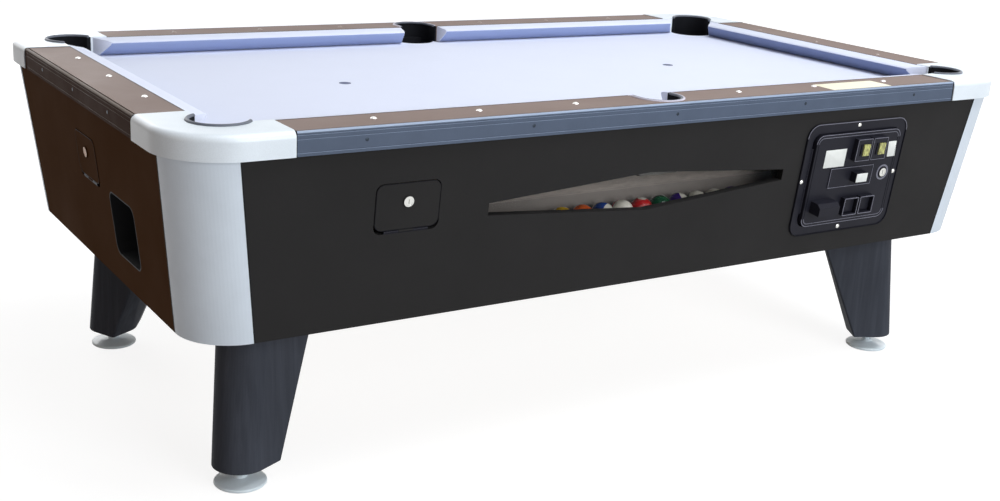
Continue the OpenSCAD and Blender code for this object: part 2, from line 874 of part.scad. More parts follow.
// Domed foot on a threaded stud, with a locking nut against the leg
module leveler(c)
    color(silver) at_corner(c) translate([leg_foot_in, leg_foot_in, 0]) {
        rotate_extrude() polygon([
            [0, 0], [foot_d / 2 - foot_bevel, 0], [foot_d / 2, foot_bevel],
            [foot_d / 2, foot_edge - foot_bevel], [foot_d / 2 - foot_bevel, foot_edge],
            [foot_d / 4, foot_dome], [stud_d, foot_dome + foot_bevel],
            [stud_d * 0.8, foot_boss], [0, foot_boss]]);
        translate([0, 0, foot_boss]) cylinder(d = stud_d, h = leg_bottom + insert_l - stud_short - foot_boss);
        translate([0, 0, leg_bottom - nut_h]) cylinder(r = nut_r, h = nut_h, $fn = 6);
    }

module rail_bolt(z)
    translate([0, 0, z]) {
        translate([0, 0, frame_bottom + rail_bolt_short - z])
            cylinder(r = frame_screw_r, h = z - frame_bottom - rail_bolt_short);
        intersection() {
            translate([0, 0, head_h - head_dome]) sphere(head_dome);
            cylinder(r = head_r, h = head_h);
        }
    }

module rail_bolts()
    color(nickel) {
        for (side = ["front", "back"], x = rail_bolt_places)
            on_edge(side) translate([x, rail_bolt_in, 0]) rail_bolt(rail_top);
        for (side = ["left", "right"], x = end_bolt_places)
            on_edge(side) translate([x, end_bolt_in, 0]) rail_bolt(rail_top);
    }

module window_pane()
    color([0.6, 0.65, 0.66, 0.4]) on_face("front")
        translate([window_left - pane_margin, up(window_low) - pane_margin, -panel_t - pane_t])
            cube([window_right - window_left + 2 * pane_margin,
                up(window_high) - up(window_low) + 2 * pane_margin, pane_t]);

// Tray with a two-part sloping back that holds the balls in the window
module ball_rack()
    color([0.30, 0.27, 0.24]) {
        back = ball_y + ball_d / 2 + ball_gap;
        low = rack_floor - rack_t;
        front = [[rack_front, low], [rack_front, rack_floor]];
        inner = [[back, rack_floor], [back, rack_floor] + rack_knee, [back, rack_floor] + rack_rim];
        outer = [for (i = [2, 1]) inner[i] + [rack_t, 0]];
        translate([rack_left, 0, 0]) rotate([90, 0, 90]) linear_extrude(rack_right - rack_left)
            polygon(concat(front, inner, outer, [[back + rack_t, low]]));
        translate([rack_right, 0, 0]) rotate([90, 0, 90]) linear_extrude(rack_t)
            polygon(concat(front, [inner[2], outer[0], [back + rack_t, low]]));
        translate([rack_left - rack_entry, rack_front, low]) cube([rack_entry, back - rack_front, rack_t]);
        for (x = [rack_left, 0, rack_right - post_t]) translate([x, rack_front + post_t, floor_top])
            cube([post_t, back - rack_front - 2 * post_t, low - floor_top]);
    }

module ball(x, y, floor_z)
    translate([x, y, floor_z + ball_d / 2 + seat]) sphere(d = ball_d);

module ball_set()
    color([0.95, 0.94, 0.88]) {
        for (i = [0 : row_balls - 1]) ball(window_ball - i * ball_pitch, ball_y, rack_floor);
        for (i = [1 : hidden_balls]) ball(window_ball + i * ball_pitch, ball_y, rack_floor);
        ball(lone_ball, ball_y, rack_floor);
        for (i = [0, 1]) ball(tray_w / 4, gate_y * (i - 0.5) / 2, tray_floor);
        ball(-tray_w / 2 + ball_d, -cue_run_y, tray_floor);
    }

// A bar of width w and height h whose floor line runs from p to q, drawn on past both ends, with a
// step below that line
module bar(p, q, w, h, below, before, after) {
    way = q - p;
    translate(p) rotate([0, -asin(way[2] / norm(way)), atan2(way[1], way[0])])
        translate([-before, -w / 2, -below]) cube([before + norm(way) + after, w, h + below]);
}

// Outside of a run, and its hollow, which is open at the top
module run_outside(r, before, after) bar(r[0], r[1], run_w + 2 * run_wall, run_h, run_wall, before, after);
module run_hollow(r, before, after) bar(r[0], r[1], run_w, ball_room + run_past, 0, before, after);

cue_end_z = cup_floor + cue_end_up;
cup_back_x = -half_l + inset_at(cue_end_z) + cup_d;
elbow = [-elbow_x, -elbow_y, tray_floor - elbow_drop];
elbow_w = run_w + 12;
chute_end = [elbow[0], ball_y + chute_over, rack_floor + chute_up];

function corner_run(c) = [
    [c[1] * (half_l - pocket_in), c[2] * (half_w - pocket_in), corner_run_z],
    [c[1] * tray_w / 2, c[2] * corner_run_y, corner_run_z - corner_drop]
];
// The side pocket's run on an edge, with +Y pointing inwards
side_run = [[0, side_in, side_run_z], [0, half_w - tray_l / 2, side_run_z - side_drop]];
cue_run = [[-tray_w / 2, -cue_run_y, tray_floor], [cup_back_x, -cup_x, cue_end_z]];
release_run = [[-tray_w / 2, -gate_y, tray_floor], elbow];
chute = [elbow, chute_end];

// Outside of the tray, grown by a margin, with some height added
module tray_block(grow, extra)
    translate([-tray_w / 2 - grow, -tray_l / 2 - grow, tray_floor - run_wall - grow])
        cube([tray_w + 2 * grow, tray_l + 2 * grow, tray_h + run_wall + grow + extra]);

// Run from a corner pocket to the tray, with a boot that stands under the pocket's liner
module corner_ball_run(c)
    difference() {
        union() {
            run_outside(corner_run(c), 0, run_past);
            at_corner(c) translate([pocket_in, pocket_in, corner_run_z - boot_floor])
                cylinder(r = pocket_r, h = ball_room + boot_floor);
        }
        run_hollow(corner_run(c), run_past, 2 * run_past);
        at_corner(c) translate([pocket_in, pocket_in, corner_run_z])
            cylinder(r = pocket_r - run_wall, h = ball_room + through);
        tray_block(seat, run_h);
    }

// Run from a side pocket to the tray
module side_ball_run(side)
    difference() {
        on_edge(side) difference() {
            union() {
                run_outside(side_run, 0, run_past);
                side_tube(side_r, boot_flat, side_run_z - boot_floor, ball_room + boot_floor);
            }
            run_hollow(side_run, run_past, 2 * run_past);
            side_tube(side_r - run_wall, boot_flat + run_wall, side_run_z, ball_room + through);
        }
        tray_block(seat, run_h);
    }

// Run from the tray to the cup in the left end
module cue_ball_run()
    difference() {
        run_outside(cue_run, run_past, 0);
        run_hollow(cue_run, 2 * run_past, run_past);
        tray_block(seat, run_h);
        cup_block(seat);
    }

// Run from the gate to the rack, with a bend on a post
module release_ball_run()
    difference() {
        union() {
            run_outside(release_run, run_past, 0);
            run_outside(chute, 0, 0);
            translate([elbow[0], elbow[1], elbow[2] - boot_floor]) linear_extrude(run_h + boot_floor)
                square(elbow_w + 2 * run_wall, center = true);
            translate([elbow[0], elbow[1], floor_top]) linear_extrude(elbow[2] - run_wall - floor_top)
                square(post_t, center = true);
        }
        run_hollow(release_run, 2 * run_past, 0);
        run_hollow(chute, 0, run_past);
        translate([elbow[0], elbow[1], elbow[2] - through]) linear_extrude(run_h + 2 * through)
            square(elbow_w, center = true);
        tray_block(seat, run_h);
    }

// Tray in the middle, with an opening for each run, on four posts
module ball_tray() {
    difference() {
        tray_block(0, 0);
        translate([-tray_w / 2 + run_wall, -tray_l / 2 + run_wall, tray_floor])
            cube([tray_w - 2 * run_wall, tray_l - 2 * run_wall, tray_h + through]);
        for (c = corners) run_hollow(corner_run(c), -tray_l, 2 * run_past);
        for (side = ["front", "back"]) on_edge(side) run_hollow(side_run, -tray_w, 2 * run_past);
        for (y = [cue_run_y, gate_y]) translate([-tray_w / 2 - through, -y - run_w / 2, tray_floor])
            cube([run_wall + 2 * through, run_w, ball_room - through]);
    }
    gate_ears();
    for (x = [-1, 1], y = [-1, 1])
        translate([x * (tray_w / 2 - tray_post_in), y * (tray_l / 2 - tray_post_in), floor_top])
            linear_extrude(tray_floor - run_wall - floor_top) square(post_t, center = true);
}

module ball_runs()
    color([0.35, 0.33, 0.30]) {
        for (c = corners) corner_ball_run(c);
        for (side = ["front", "back"]) side_ball_run(side);
        cue_ball_run();
        release_ball_run();
        ball_tray();
    }

// Ears on the tray that carry the gate's pin
module gate_ears()
    for (s = [-1, 1])
        difference() {
            translate([gate_x - gate_barrel_r, -gate_y + s * (gate_w / 2 + slip + ear_t / 2) - ear_t / 2,
                gate_pin_z - gate_barrel_r])
                cube([gate_barrel_r - tray_w / 2 - gate_x, ear_t,
                    tray_floor + tray_h - gate_pin_z + gate_barrel_r]);
            gate_pin_hole();
        }

module gate_pin_hole()
    translate([gate_x, -gate_y - gate_w, gate_pin_z]) rotate([-90, 0, 0])
        cylinder(r = gate_pin_r + running, h = 2 * gate_w);

module ball_gate()
    color(nickel) difference() {
        union() {
            translate([gate_x - gate_t / 2, -gate_y - gate_w / 2, gate_pin_z - gate_h])
                cube([gate_t, gate_w, gate_h]);
            translate([gate_x, -gate_y - gate_w / 2, gate_pin_z]) rotate([-90, 0, 0])
                cylinder(r = gate_barrel_r, h = gate_w);
        }
        gate_pin_hole();
    }

// Outside of the cup in the left end, grown by a margin
module cup_block(grow)
    on_face("left") face_plate(cup_x, cup_z, cup_w - slip + 2 * grow, cup_h - slip + 2 * grow, cup_r,
        -cup_d - grow, 0);

module cue_ball_cup()
    color(black) difference() {
        union() {
            cup_block(0);
            on_face("left") face_plate(cup_x, cup_z, cup_w + 2 * cup_flange, cup_h + 2 * cup_flange, cup_r,
                -panel_t - door_wall, -panel_t);
        }
        on_face("left") {
            face_plate(cup_x, cup_z, cup_w - slip - 2 * door_wall, cup_h - slip - 2 * door_wall,
                cup_r - door_wall, -cup_d + door_wall, through);
            face_block(cup_x, cue_end_z + ball_room / 2 - cup_d * sin(lean), run_w, ball_room,
                -cup_d - through, -cup_d + 2 * door_wall);
        }
    }

module cash_box()
    color(silver) translate([door_x - cash_w / 2, -inside(half_w, floor_top) + 8, floor_top]) difference() {
        cube([cash_w, cash_d, cash_h]);
        translate([cash_wall, cash_wall, cash_wall])
            cube([cash_w - 2 * cash_wall, cash_d - 2 * cash_wall, cash_h]);
    }

// A run of hinge knuckles along +Y from the middle of a hinge, with a flat web to one side
module knuckle(i, count, web, bore) {
    pitch = knuckle_l + knuckle_gap;
    translate([0, (i - count / 2) * pitch + knuckle_gap / 2, 0]) difference() {
        union() {
            rotate([-90, 0, 0]) cylinder(r = hinge_r, h = knuckle_l);
            translate([min(0, web), 0, -web_t / 2]) cube([abs(web), knuckle_l, web_t]);
        }
        translate([0, -through, 0]) rotate([-90, 0, 0]) cylinder(r = bore, h = knuckle_l + 2 * through);
    }
}

module coin_hinge() translate([hinge_x, up(door_z), hinge_n]) children();

module coin_door_frame()
    color(black) on_face("front") {
        difference() {
            union() {
                face_plate(frame_x, door_z, frame_plate_w, frame_plate_h, frame_r, 0, frame_out);
                difference() {
                    face_plate(frame_x, door_z, frame_plate_w, frame_plate_h, frame_r, 0,
                        frame_out + frame_rim);
                    face_plate(frame_x, door_z, frame_plate_w - 2 * rim_w, frame_plate_h - 2 * rim_w,
                        frame_r - rim_w, 0, frame_out + frame_rim + through);
                }
                coin_opening(door_wall, -panel_t, 0);
            }
            coin_opening(0, -panel_t - through, frame_out + through);
            for (b = coin_bolt_places) translate([b[0], up(b[1]), -through])
                cylinder(r = coin_bolt_r + drill, h = frame_out + 2 * through);
        }
        coin_hinge() for (i = [0, 2, 4]) knuckle(i, 5, -hinge_gap / 2 - seat, pin_r + running);
    }

module button_hole(x)
    face_block(x + button_x, bezel_z, button_w + 2 * seat, button_h + 2 * seat, door_back,
        door_out + bezel_out + through);

// The coin door as a pan, with its bezels, snout, plate and lock housing standing out of it
module coin_door()
    color(black) on_face("front") {
        difference() {
            union() {
                difference() {
                    face_plate(door_x, door_z, door_w, door_h, door_r, door_back, door_out);
                    face_plate(door_x, door_z, door_w - 2 * door_wall, door_h - 2 * door_wall,
                        door_r - door_wall, door_back - through, door_out - door_wall);
                }
                for (x = bezel_x)
                    face_block(x, bezel_z, bezel_w, bezel_h, door_out - seat, door_out + bezel_out);
                for (x = mouth_x) mouth_shell(x, 0);
                translate([lock_x, up(lock_z), -panel_t - housing_over])
                    cylinder(r = housing_r, h = panel_t + door_out + 2 * housing_over);
                translate([snout_x - snout_w / 2, up(snout_z), 0]) rotate([0, 90, 0]) linear_extrude(snout_w)
                    polygon([[-door_out + seat, -snout_h / 2], [-door_out - snout_out, -snout_h / 2],
                        [-door_out - snout_out, snout_h * 0.2], [-door_out - snout_out * 0.7, snout_h / 2],
                        [-door_out + seat, snout_h / 2]]);
                face_block(plate_x, plate_z, plate_w, plate_h, door_out - seat, door_out + plate_out);
                face_block(box_x, box_z, box_w, box_h, door_out, door_out + box_out);
            }
            for (x = bezel_x) {
                button_hole(x);
                face_block(x + slot_x, bezel_z, slot_w, slot_h, door_out - door_wall - through,
                    door_out + bezel_out + through);
            }
            for (x = mouth_x) mouth_shell(x, mouth_wall);
            for (x = mouth_x) translate([x - mouth_w, flap_v, flap_n]) rotate([0, 90, 0])
                cylinder(r = flap_pin_r + running, h = 2 * mouth_w);
            translate([lock_x, up(lock_z), -panel_t - 2 * housing_over])
                cylinder(r = plug_r + running, h = panel_t + door_out + 4 * housing_over);
        }
        coin_hinge() for (i = [1, 3]) knuckle(i, 5, hinge_gap / 2 + seat, pin_r + running);
    }

// Outside of a coin return, or its hollow when given a wall
module mouth_shell(x, wall)
    face_block(x, mouth_z, mouth_w - 2 * wall, mouth_h - 2 * wall,
        door_out + wall - mouth_deep - mouth_wall, door_out + mouth_out + (wall > 0 ? through : 0));

module coin_mechs()
    color([0.5, 0.5, 0.52]) on_face("front") for (x = bezel_x) {
        face_block(x, mech_z, mech_w, mech_h, -mech_d, mech_front);
        for (s = [-1, 1])
            face_block(x + s * (mech_w - mech_side) / 2, mech_z, mech_side, mech_h, mech_front,
                door_out - door_wall);
    }

// Lock plug with a cam behind it, which points along an angle on the face
module lock(n0, n1, angle, cam)
    difference() {
        union() {
            translate([0, 0, n0]) cylinder(r = plug_r, h = n1 - n0);
            rotate(angle) translate([-cam_w / 2, -cam_w / 2, n0 - cam_t])
                cube([cam + cam_w / 2, cam_w, cam_t]);
        }
        translate([-key_w / 2, -key_l / 2, n1 - key_deep]) cube([key_w, key_l, key_deep + through]);
    }

module coin_door_lock()
    color(nickel) on_face("front") translate([lock_x, up(lock_z), 0])
        lock(-panel_t - plug_behind, door_out + plug_out, -90, cam_l);

module reject_button(x)
    color([0.95, 0.85, 0.4]) on_face("front")
        face_block(x + button_x, bezel_z, button_w, button_h, mech_front + button_travel + slip,
            door_out + bezel_out + button_out);

module return_flap(x)
    color([0.2, 0.2, 0.22]) on_face("front")
        translate([x, flap_v, flap_n]) {
            flap_w = mouth_w - 2 * mouth_wall - 2 * slip;
            flap_h = mouth_h - 2 * mouth_wall - flap_hinge - flap_t;
            translate([-mouth_w / 2, 0, 0]) rotate([0, 90, 0]) cylinder(r = flap_pin_r, h = mouth_w);
            translate([-flap_w / 2, 0, 0]) rotate([0, 90, 0]) cylinder(r = flap_pin_r + 1, h = flap_w);
            translate([-flap_w / 2, -flap_h, -flap_t / 2]) cube([flap_w, flap_h, flap_t]);
        }

// Access door, drawn about its middle on a face
module access_door() {
    difference() {
        union() {
            translate([0, 0, access_face - access_plate]) linear_extrude(access_plate)
                round_rect(access_w, access_h, access_r);
            translate([0, access_lock_up, -panel_t - housing_over])
                cylinder(r = access_housing_r, h = panel_t + access_face + 2 * housing_over);
        }
        translate([0, access_lock_up, -panel_t - 2 * housing_over])
            cylinder(r = plug_r + running, h = panel_t + access_face + 4 * housing_over);
    }
    translate([0, access_hinge_z, access_hinge_n]) rotate(90)
        knuckle(1, 3, access_hinge_gap / 2 + seat, pin_r + running);
}

module front_access_door() color(black) at_access("front") access_door();
module end_access_door() color(black) at_access("left") access_door();

// Puts a shape at the middle of a side's access door
module at_access(side)
    on_face(side) translate([side == "front" ? access_x : 0, up(access_z), 0]) children();

module access_lock(side)
    color(nickel) at_access(side) translate([0, access_lock_up, 0])
        lock(-panel_t - plug_behind, access_face + plug_out, 0, cam_reach);

// Fixed leaf and knuckles of an access door's hinge, in the lower edge of its opening
module hinge_leaf() {
    leaf_l = 3 * (knuckle_l + knuckle_gap);
    translate([-leaf_l / 2, access_hinge_z - access_hinge_gap / 2, access_plate - panel_t])
        cube([leaf_l, access_hinge_gap / 2 - hinge_r - leaf_gap, panel_t - access_plate]);
    translate([0, access_hinge_z, access_hinge_n]) rotate(90)
        for (i = [0, 2]) knuckle(i, 3, -access_hinge_gap / 2 + seat, pin_r + running);
}

module hinge_leaves() color(black) for (side = ["front", "left"]) at_access(side) hinge_leaf();

module hinge_pins()
    color(nickel) {
        l5 = 5 * (knuckle_l + knuckle_gap);
        l3 = 3 * (knuckle_l + knuckle_gap);
        on_face("front") coin_hinge() translate([0, -l5 / 2, 0]) rotate([-90, 0, 0])
            cylinder(r = pin_r, h = l5);
        for (side = ["front", "left"]) at_access(side)
            translate([-l3 / 2, access_hinge_z, access_hinge_n]) rotate([0, 90, 0])
                cylinder(r = pin_r, h = l3);
        translate([gate_x, -gate_y - gate_w / 2 - slip - ear_t, gate_pin_z]) rotate([-90, 0, 0])
            cylinder(r = gate_pin_r, h = gate_w + 2 * (slip + ear_t));
    }

module coin_door_bolts()
    color([0.95, 0.95, 0.95]) on_face("front") for (b = coin_bolt_places) translate([b[0], up(b[1]), 0]) {
        translate([0, 0, screw_short - panel_t])
            cylinder(r = coin_bolt_r, h = panel_t - screw_short + frame_out);
        translate([0, 0, frame_out]) intersection() {
            cylinder(r = bolt_head_r, h = bolt_head_h);
            translate([0, 0, bolt_head_h - bolt_dome]) sphere(bolt_dome);
        }
    }

front_panel();
back_panel();
left_end_panel();
right_end_panel();
cabinet_floor();
corner_posts();
corner_trim(corners[0]);  // corner_trim_front_left
corner_trim(corners[1]);  // corner_trim_front_right
corner_trim(corners[2]);  // corner_trim_back_left
corner_trim(corners[3]);  // corner_trim_back_right
slate_frame();
support_cleats();
slate();
bed_cloth();
rail("front", half_l);  // rail_front
rail("back", half_l);  // rail_back
rail("left", half_w);  // rail_left
rail("right", half_w);  // rail_right
rail_trims();
corner_cap(corners[0]);  // corner_cap_front_left
corner_cap(corners[1]);  // corner_cap_front_right
corner_cap(corners[2]);  // corner_cap_back_left
corner_cap(corners[3]);  // corner_cap_back_right
end_cushions();
side_cushions();
corner_pocket_liners();
side_pocket_liners();
leg(corners[0]);  // leg_front_left
leg(corners[1]);  // leg_front_right
leg(corners[2]);  // leg_back_left
leg(corners[3]);  // leg_back_right
leg_inserts();
leg_bolts();
leveler(corners[0]);  // leveler_front_left
leveler(corners[1]);  // leveler_front_right
leveler(corners[2]);  // leveler_back_left
leveler(corners[3]);  // leveler_back_right
rail_bolts();
window_pane();
ball_rack();
ball_set();
ball_runs();
ball_gate();
cue_ball_cup();
cash_box();
coin_door_frame();
coin_door();
coin_mechs();
coin_door_lock();
reject_button(bezel_x[0]);  // reject_button_left
reject_button(bezel_x[1]);  // reject_button_right
return_flap(mouth_x[0]);  // return_flap_left
return_flap(mouth_x[1]);  // return_flap_right
front_access_door();
access_lock("front");  // front_door_lock
end_access_door();
access_lock("left");  // end_door_lock
hinge_pins();
hinge_leaves();
coin_door_bolts();
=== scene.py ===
"""Dressed model of a coin-operated pool table: finishes, soft pieces, trims and small fittings.

Every size is in millimetres in the table's own frame and is scaled to metres when it is placed.
The origin is on the floor under the middle of the table, +X runs along it and the side with the
coin door faces -Y.
"""

import logging
import math
from dataclasses import dataclass, field
from enum import Enum
from typing import Callable, Iterable, Sequence

import bmesh
import bpy
from mathutils import Matrix, Vector


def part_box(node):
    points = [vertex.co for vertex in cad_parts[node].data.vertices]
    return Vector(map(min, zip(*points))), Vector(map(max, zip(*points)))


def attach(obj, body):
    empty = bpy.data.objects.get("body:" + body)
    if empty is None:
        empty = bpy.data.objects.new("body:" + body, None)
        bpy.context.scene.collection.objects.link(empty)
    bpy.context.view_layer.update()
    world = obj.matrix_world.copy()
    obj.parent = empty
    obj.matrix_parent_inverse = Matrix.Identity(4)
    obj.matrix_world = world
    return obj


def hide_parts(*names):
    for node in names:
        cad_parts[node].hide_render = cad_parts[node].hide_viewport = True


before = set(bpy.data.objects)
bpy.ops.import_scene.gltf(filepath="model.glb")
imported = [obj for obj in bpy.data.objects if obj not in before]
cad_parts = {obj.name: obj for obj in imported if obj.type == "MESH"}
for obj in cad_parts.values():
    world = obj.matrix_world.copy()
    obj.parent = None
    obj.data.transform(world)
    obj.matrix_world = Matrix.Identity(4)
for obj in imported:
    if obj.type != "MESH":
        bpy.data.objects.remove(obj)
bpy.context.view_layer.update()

# Types: linear colour with alpha, three numbers, and corners as inward distance and height
Colour = tuple[float, float, float, float]
Triple = tuple[float, float, float]
Section = list[tuple[float, float]]

LOG = logging.getLogger("pool_table")
MM = 0.001
TABLE = "table"
CORNER_NAMES = ("front_left", "front_right", "back_left", "back_right")

# Sizes shared with the CAD model
HALF_L = 1181.0
HALF_W = 667.0
RAIL_TOP = 820.0
BED = 774.0
CABINET_BOTTOM = 380.0
INSET_BOTTOM = 58.0
LEAN = math.atan(44.0 / 394.0)
RAIL_W = 112.0
CAP_ARM = 243.0
CAP_PROUD = 3.0
RAIL_JOINT = 1.2
CAP_TOP = 822.0
POCKET_IN = 143.0
POCKET_R = 65.5
SIDE_IN = 77.0
SIDE_R = 60.0
ACCESS_X = -677.0
ACCESS_Z = 641.0
DOOR_X = 618.0
DOOR_Z = 585.5
BALL_D = 57.15

# Outer width, height and corner radius of a lock's ring, and its band
LOCK_RING = (23.0, 23.0, 11.4, 2.4)

# Name of the cue ball's colour, which has no spots
IVORY = "ivory"

# Directions for the balls: away from the window, and where a spot or pole isn't seen
BEHIND = Vector((0.611, 0.1, -0.79))
HIDDEN_LOOK = (-0.14, 0.4, -0.9)

# Colours of the lamps
COOL = (0.94, 0.97, 1.0)
WARM = (1.0, 0.6, 0.34)
WHITE = (1.0, 1.0, 1.0)

# Distance in millimetres at which points of a new mesh are merged, and steps of a round corner
FINE = 1e-3
CORNER_STEPS = 6


class Side(Enum):
    """The four sides of the table, with the turn that brings the front side's frame there."""

    FRONT = 0
    BACK = 180
    LEFT = -90
    RIGHT = 90

    @property
    def long(self) -> bool:
        """Whether this is one of the two long sides."""
        return self in (Side.FRONT, Side.BACK)

    @property
    def half(self) -> float:
        """Distance from the middle of the table to this edge."""
        return HALF_W if self.long else HALF_L

    @property
    def run(self) -> float:
        """Half the length of this edge."""
        return HALF_L if self.long else HALF_W

    def edge(self) -> Matrix:
        """Matrix of the edge's frame, with +X along the edge and +Y pointing inwards."""
        turn = Matrix.Rotation(math.radians(self.value), 4, "Z")
        return turn @ Matrix.Translation((0, -self.half, 0))

    def face(self) -> Matrix:
        """Matrix of the leaning face's frame, with +Y up the face and +Z pointing outwards."""
        foot = Matrix.Translation((0, INSET_BOTTOM, CABINET_BOTTOM))
        return self.edge() @ foot @ Matrix.Rotation(math.pi / 2 + LEAN, 4, "X")


class Corner(Enum):
    """The four corners, as the signs of their X and Y."""

    FRONT_LEFT = (-1, -1)
    FRONT_RIGHT = (1, -1)
    BACK_LEFT = (-1, 1)
    BACK_RIGHT = (1, 1)

    def frame(self) -> Matrix:
        """Matrix of the corner's frame, with +X and +Y pointing inwards."""
        sx, sy = self.value
        return Matrix.Translation((sx * HALF_L, sy * HALF_W, 0)) @ Matrix.Diagonal((-sx, -sy, 1, 1))


def up(z: float) -> float:
    """Distance along a leaning face to a height above the floor."""
    return (z - CABINET_BOTTOM) / math.cos(LEAN)


def tone(red: int, green: int, blue: int) -> Colour:
    """Turn a display colour into the linear one that shaders use.

    Args:
        red: Red from 0 to 255.
        green: Green from 0 to 255.
        blue: Blue from 0 to 255.

    Returns:
        The linear colour with an alpha of 1.
    """
    linear = []
    for value in (red, green, blue):
        part = value / 255
        linear.append(part / 12.92 if part <= 0.04045 else ((part + 0.055) / 1.055) ** 2.4)
    return (linear[0], linear[1], linear[2], 1.0)


class NodeGraph:
    """Nodes of a material or of the world."""

    def __init__(self, tree: bpy.types.NodeTree) -> None:
        """Start with a tree.

        Args:
            tree: Tree that the nodes join.
        """
        self.tree = tree

    def add(self, kind: str, **settings: object) -> bpy.types.Node:
        """Add a node.

        Args:
            kind: Type name of the node.
            settings: Properties to set on it.

        Returns:
            The new node.
        """
        node = self.tree.nodes.new(kind)
        for key, value in settings.items():
            setattr(node, key, value)
        return node

    def feed(self, socket: bpy.types.NodeSocket, value: object) -> None:
        """Link an output to a socket, or set the socket's own value.

        Args:
            socket: Socket to feed.
            value: Output or plain value.
        """
        if isinstance(value, bpy.types.NodeSocket):
            self.tree.links.new(value, socket)
        else:
            socket.default_value = value

    def levels(
        self, value: bpy.types.NodeSocket, low: float, high: float, to_low: float, to_high: float
    ) -> bpy.types.NodeSocket:
        """Map a range of values to another range, held at both ends.

        Args:
            value: Value to map.
            low: Value that becomes to_low.
            high: Value that becomes to_high.
            to_low: Result at low.
            to_high: Result at high.

        Returns:
            The mapped value.
        """
        node = self.add("ShaderNodeMapRange")
        for index, number in enumerate((value, low, high, to_low, to_high)):
            self.feed(node.inputs[index], number)
        return node.outputs[0]

    def sums(self, operation: str, first: object, second: object = 0.0) -> bpy.types.NodeSocket:
        """Add a math node.

        Args:
            operation: Name of the operation.
            first: First value or output.
            second: Second value or output.

        Returns:
            The result.
        """
        node = self.add("ShaderNodeMath", operation=operation)
        self.feed(node.inputs[0], first)
        self.feed(node.inputs[1], second)
        return node.outputs[0]

    def seen(self) -> bpy.types.NodeSocket:
        """Add nodes that give 1 for what the camera, reflections and clear pieces show.

        Returns:
            1 for those rays and 0 for others.
        """
        path = self.add("ShaderNodeLightPath").outputs
        bright = self.sums("MAXIMUM", path["Is Camera Ray"], path["Is Glossy Ray"])
        return self.sums("MAXIMUM", bright, path["Is Transmission Ray"])


class ShaderGraph(NodeGraph):
    """Nodes of one material around its Principled shader."""

    def __init__(self, name: str) -> None:
        """Start a material.

        Args:
            name: Name of the material.
        """
        self.material = bpy.data.materials.new(name)
        self.material.use_nodes = True
        super().__init__(self.material.node_tree)
        self.shader = self.tree.nodes["Principled BSDF"]
        self.place = self.add("ShaderNodeTexCoord").outputs["Object"]

    def look(self, **values: object) -> None:
        """Feed the Principled shader's sockets.

        Args:
            values: Values by the sockets' names, with underscores for spaces.
        """
        for key, value in values.items():
            self.feed(self.shader.inputs[key.replace("_", " ")], value)

    def axes(self, vector: bpy.types.NodeSocket) -> list[bpy.types.NodeSocket]:
        """Split a vector into its three coordinates.

        Args:
            vector: Vector to split.

        Returns:
            The three coordinates.
        """
        node = self.add("ShaderNodeSeparateXYZ")
        self.feed(node.inputs[0], vector)
        return list(node.outputs)

    def mapped(
        self,
        scale: Sequence[float] = (1, 1, 1),
        turn: Sequence[float] = (0, 0, 0),
        centre: Sequence[float] = (0, 0, 0),
    ) -> bpy.types.NodeSocket:
        """Stretch, turn and centre the object's coordinates.

        Args:
            scale: Factors along the three axes.
            turn: Turn about the three axes in degrees.
            centre: Point in metres that becomes the pattern's origin.

        Returns:
            The mapped vector.
        """
        shifted = self.add("ShaderNodeVectorMath", operation="SUBTRACT")
        self.feed(shifted.inputs[0], self.place)
        self.feed(shifted.inputs[1], centre)
        node = self.add("ShaderNodeMapping")
        self.feed(node.inputs["Vector"], shifted.outputs[0])
        self.feed(node.inputs["Scale"], scale)
        self.feed(node.inputs["Rotation"], [math.radians(angle) for angle in turn])
        return node.outputs[0]

    def noise(
        self, vector: bpy.types.NodeSocket, scale: float, detail: float = 4, rough: float = 0.5
    ) -> bpy.types.NodeSocket:
        """Add a noise texture.

        Args:
            vector: Where the texture is read.
            scale: Features per metre, roughly.
            detail: Number of finer layers.
            rough: Weight of the finer layers.

        Returns:
            The noise, from 0 to 1.
        """
        node = self.add("ShaderNodeTexNoise")
        settings = {"Vector": vector, "Scale": scale, "Detail": detail, "Roughness": rough}
        for socket, value in settings.items():
            self.feed(node.inputs[socket], value)
        return node.outputs[0]

    def mix(self, factor: object, first: object, second: object) -> bpy.types.NodeSocket:
        """Mix two colours.

        Args:
            factor: Share of the second colour.
            first: Colour or output at 0.
            second: Colour or output at 1.

        Returns:
            The mixed colour.
        """
        node = self.add("ShaderNodeMix", data_type="RGBA")
        self.feed(node.inputs[0], factor)
        self.feed(node.inputs[6], first)
        self.feed(node.inputs[7], second)
        return node.outputs[2]

    def bump(self, height: bpy.types.NodeSocket, depth: float, strength: float = 1.0) -> None:
        """Give the shader a bump.

        Args:
            height: Height pattern from 0 to 1.
            depth: Depth of the pattern in millimetres.
            strength: Share of the bump that shows.
        """
        node = self.add("ShaderNodeBump")
        self.feed(node.inputs["Strength"], strength)
        self.feed(node.inputs["Distance"], depth * MM)
        self.feed(node.inputs["Height"], height)
        self.look(Normal=node.outputs[0])


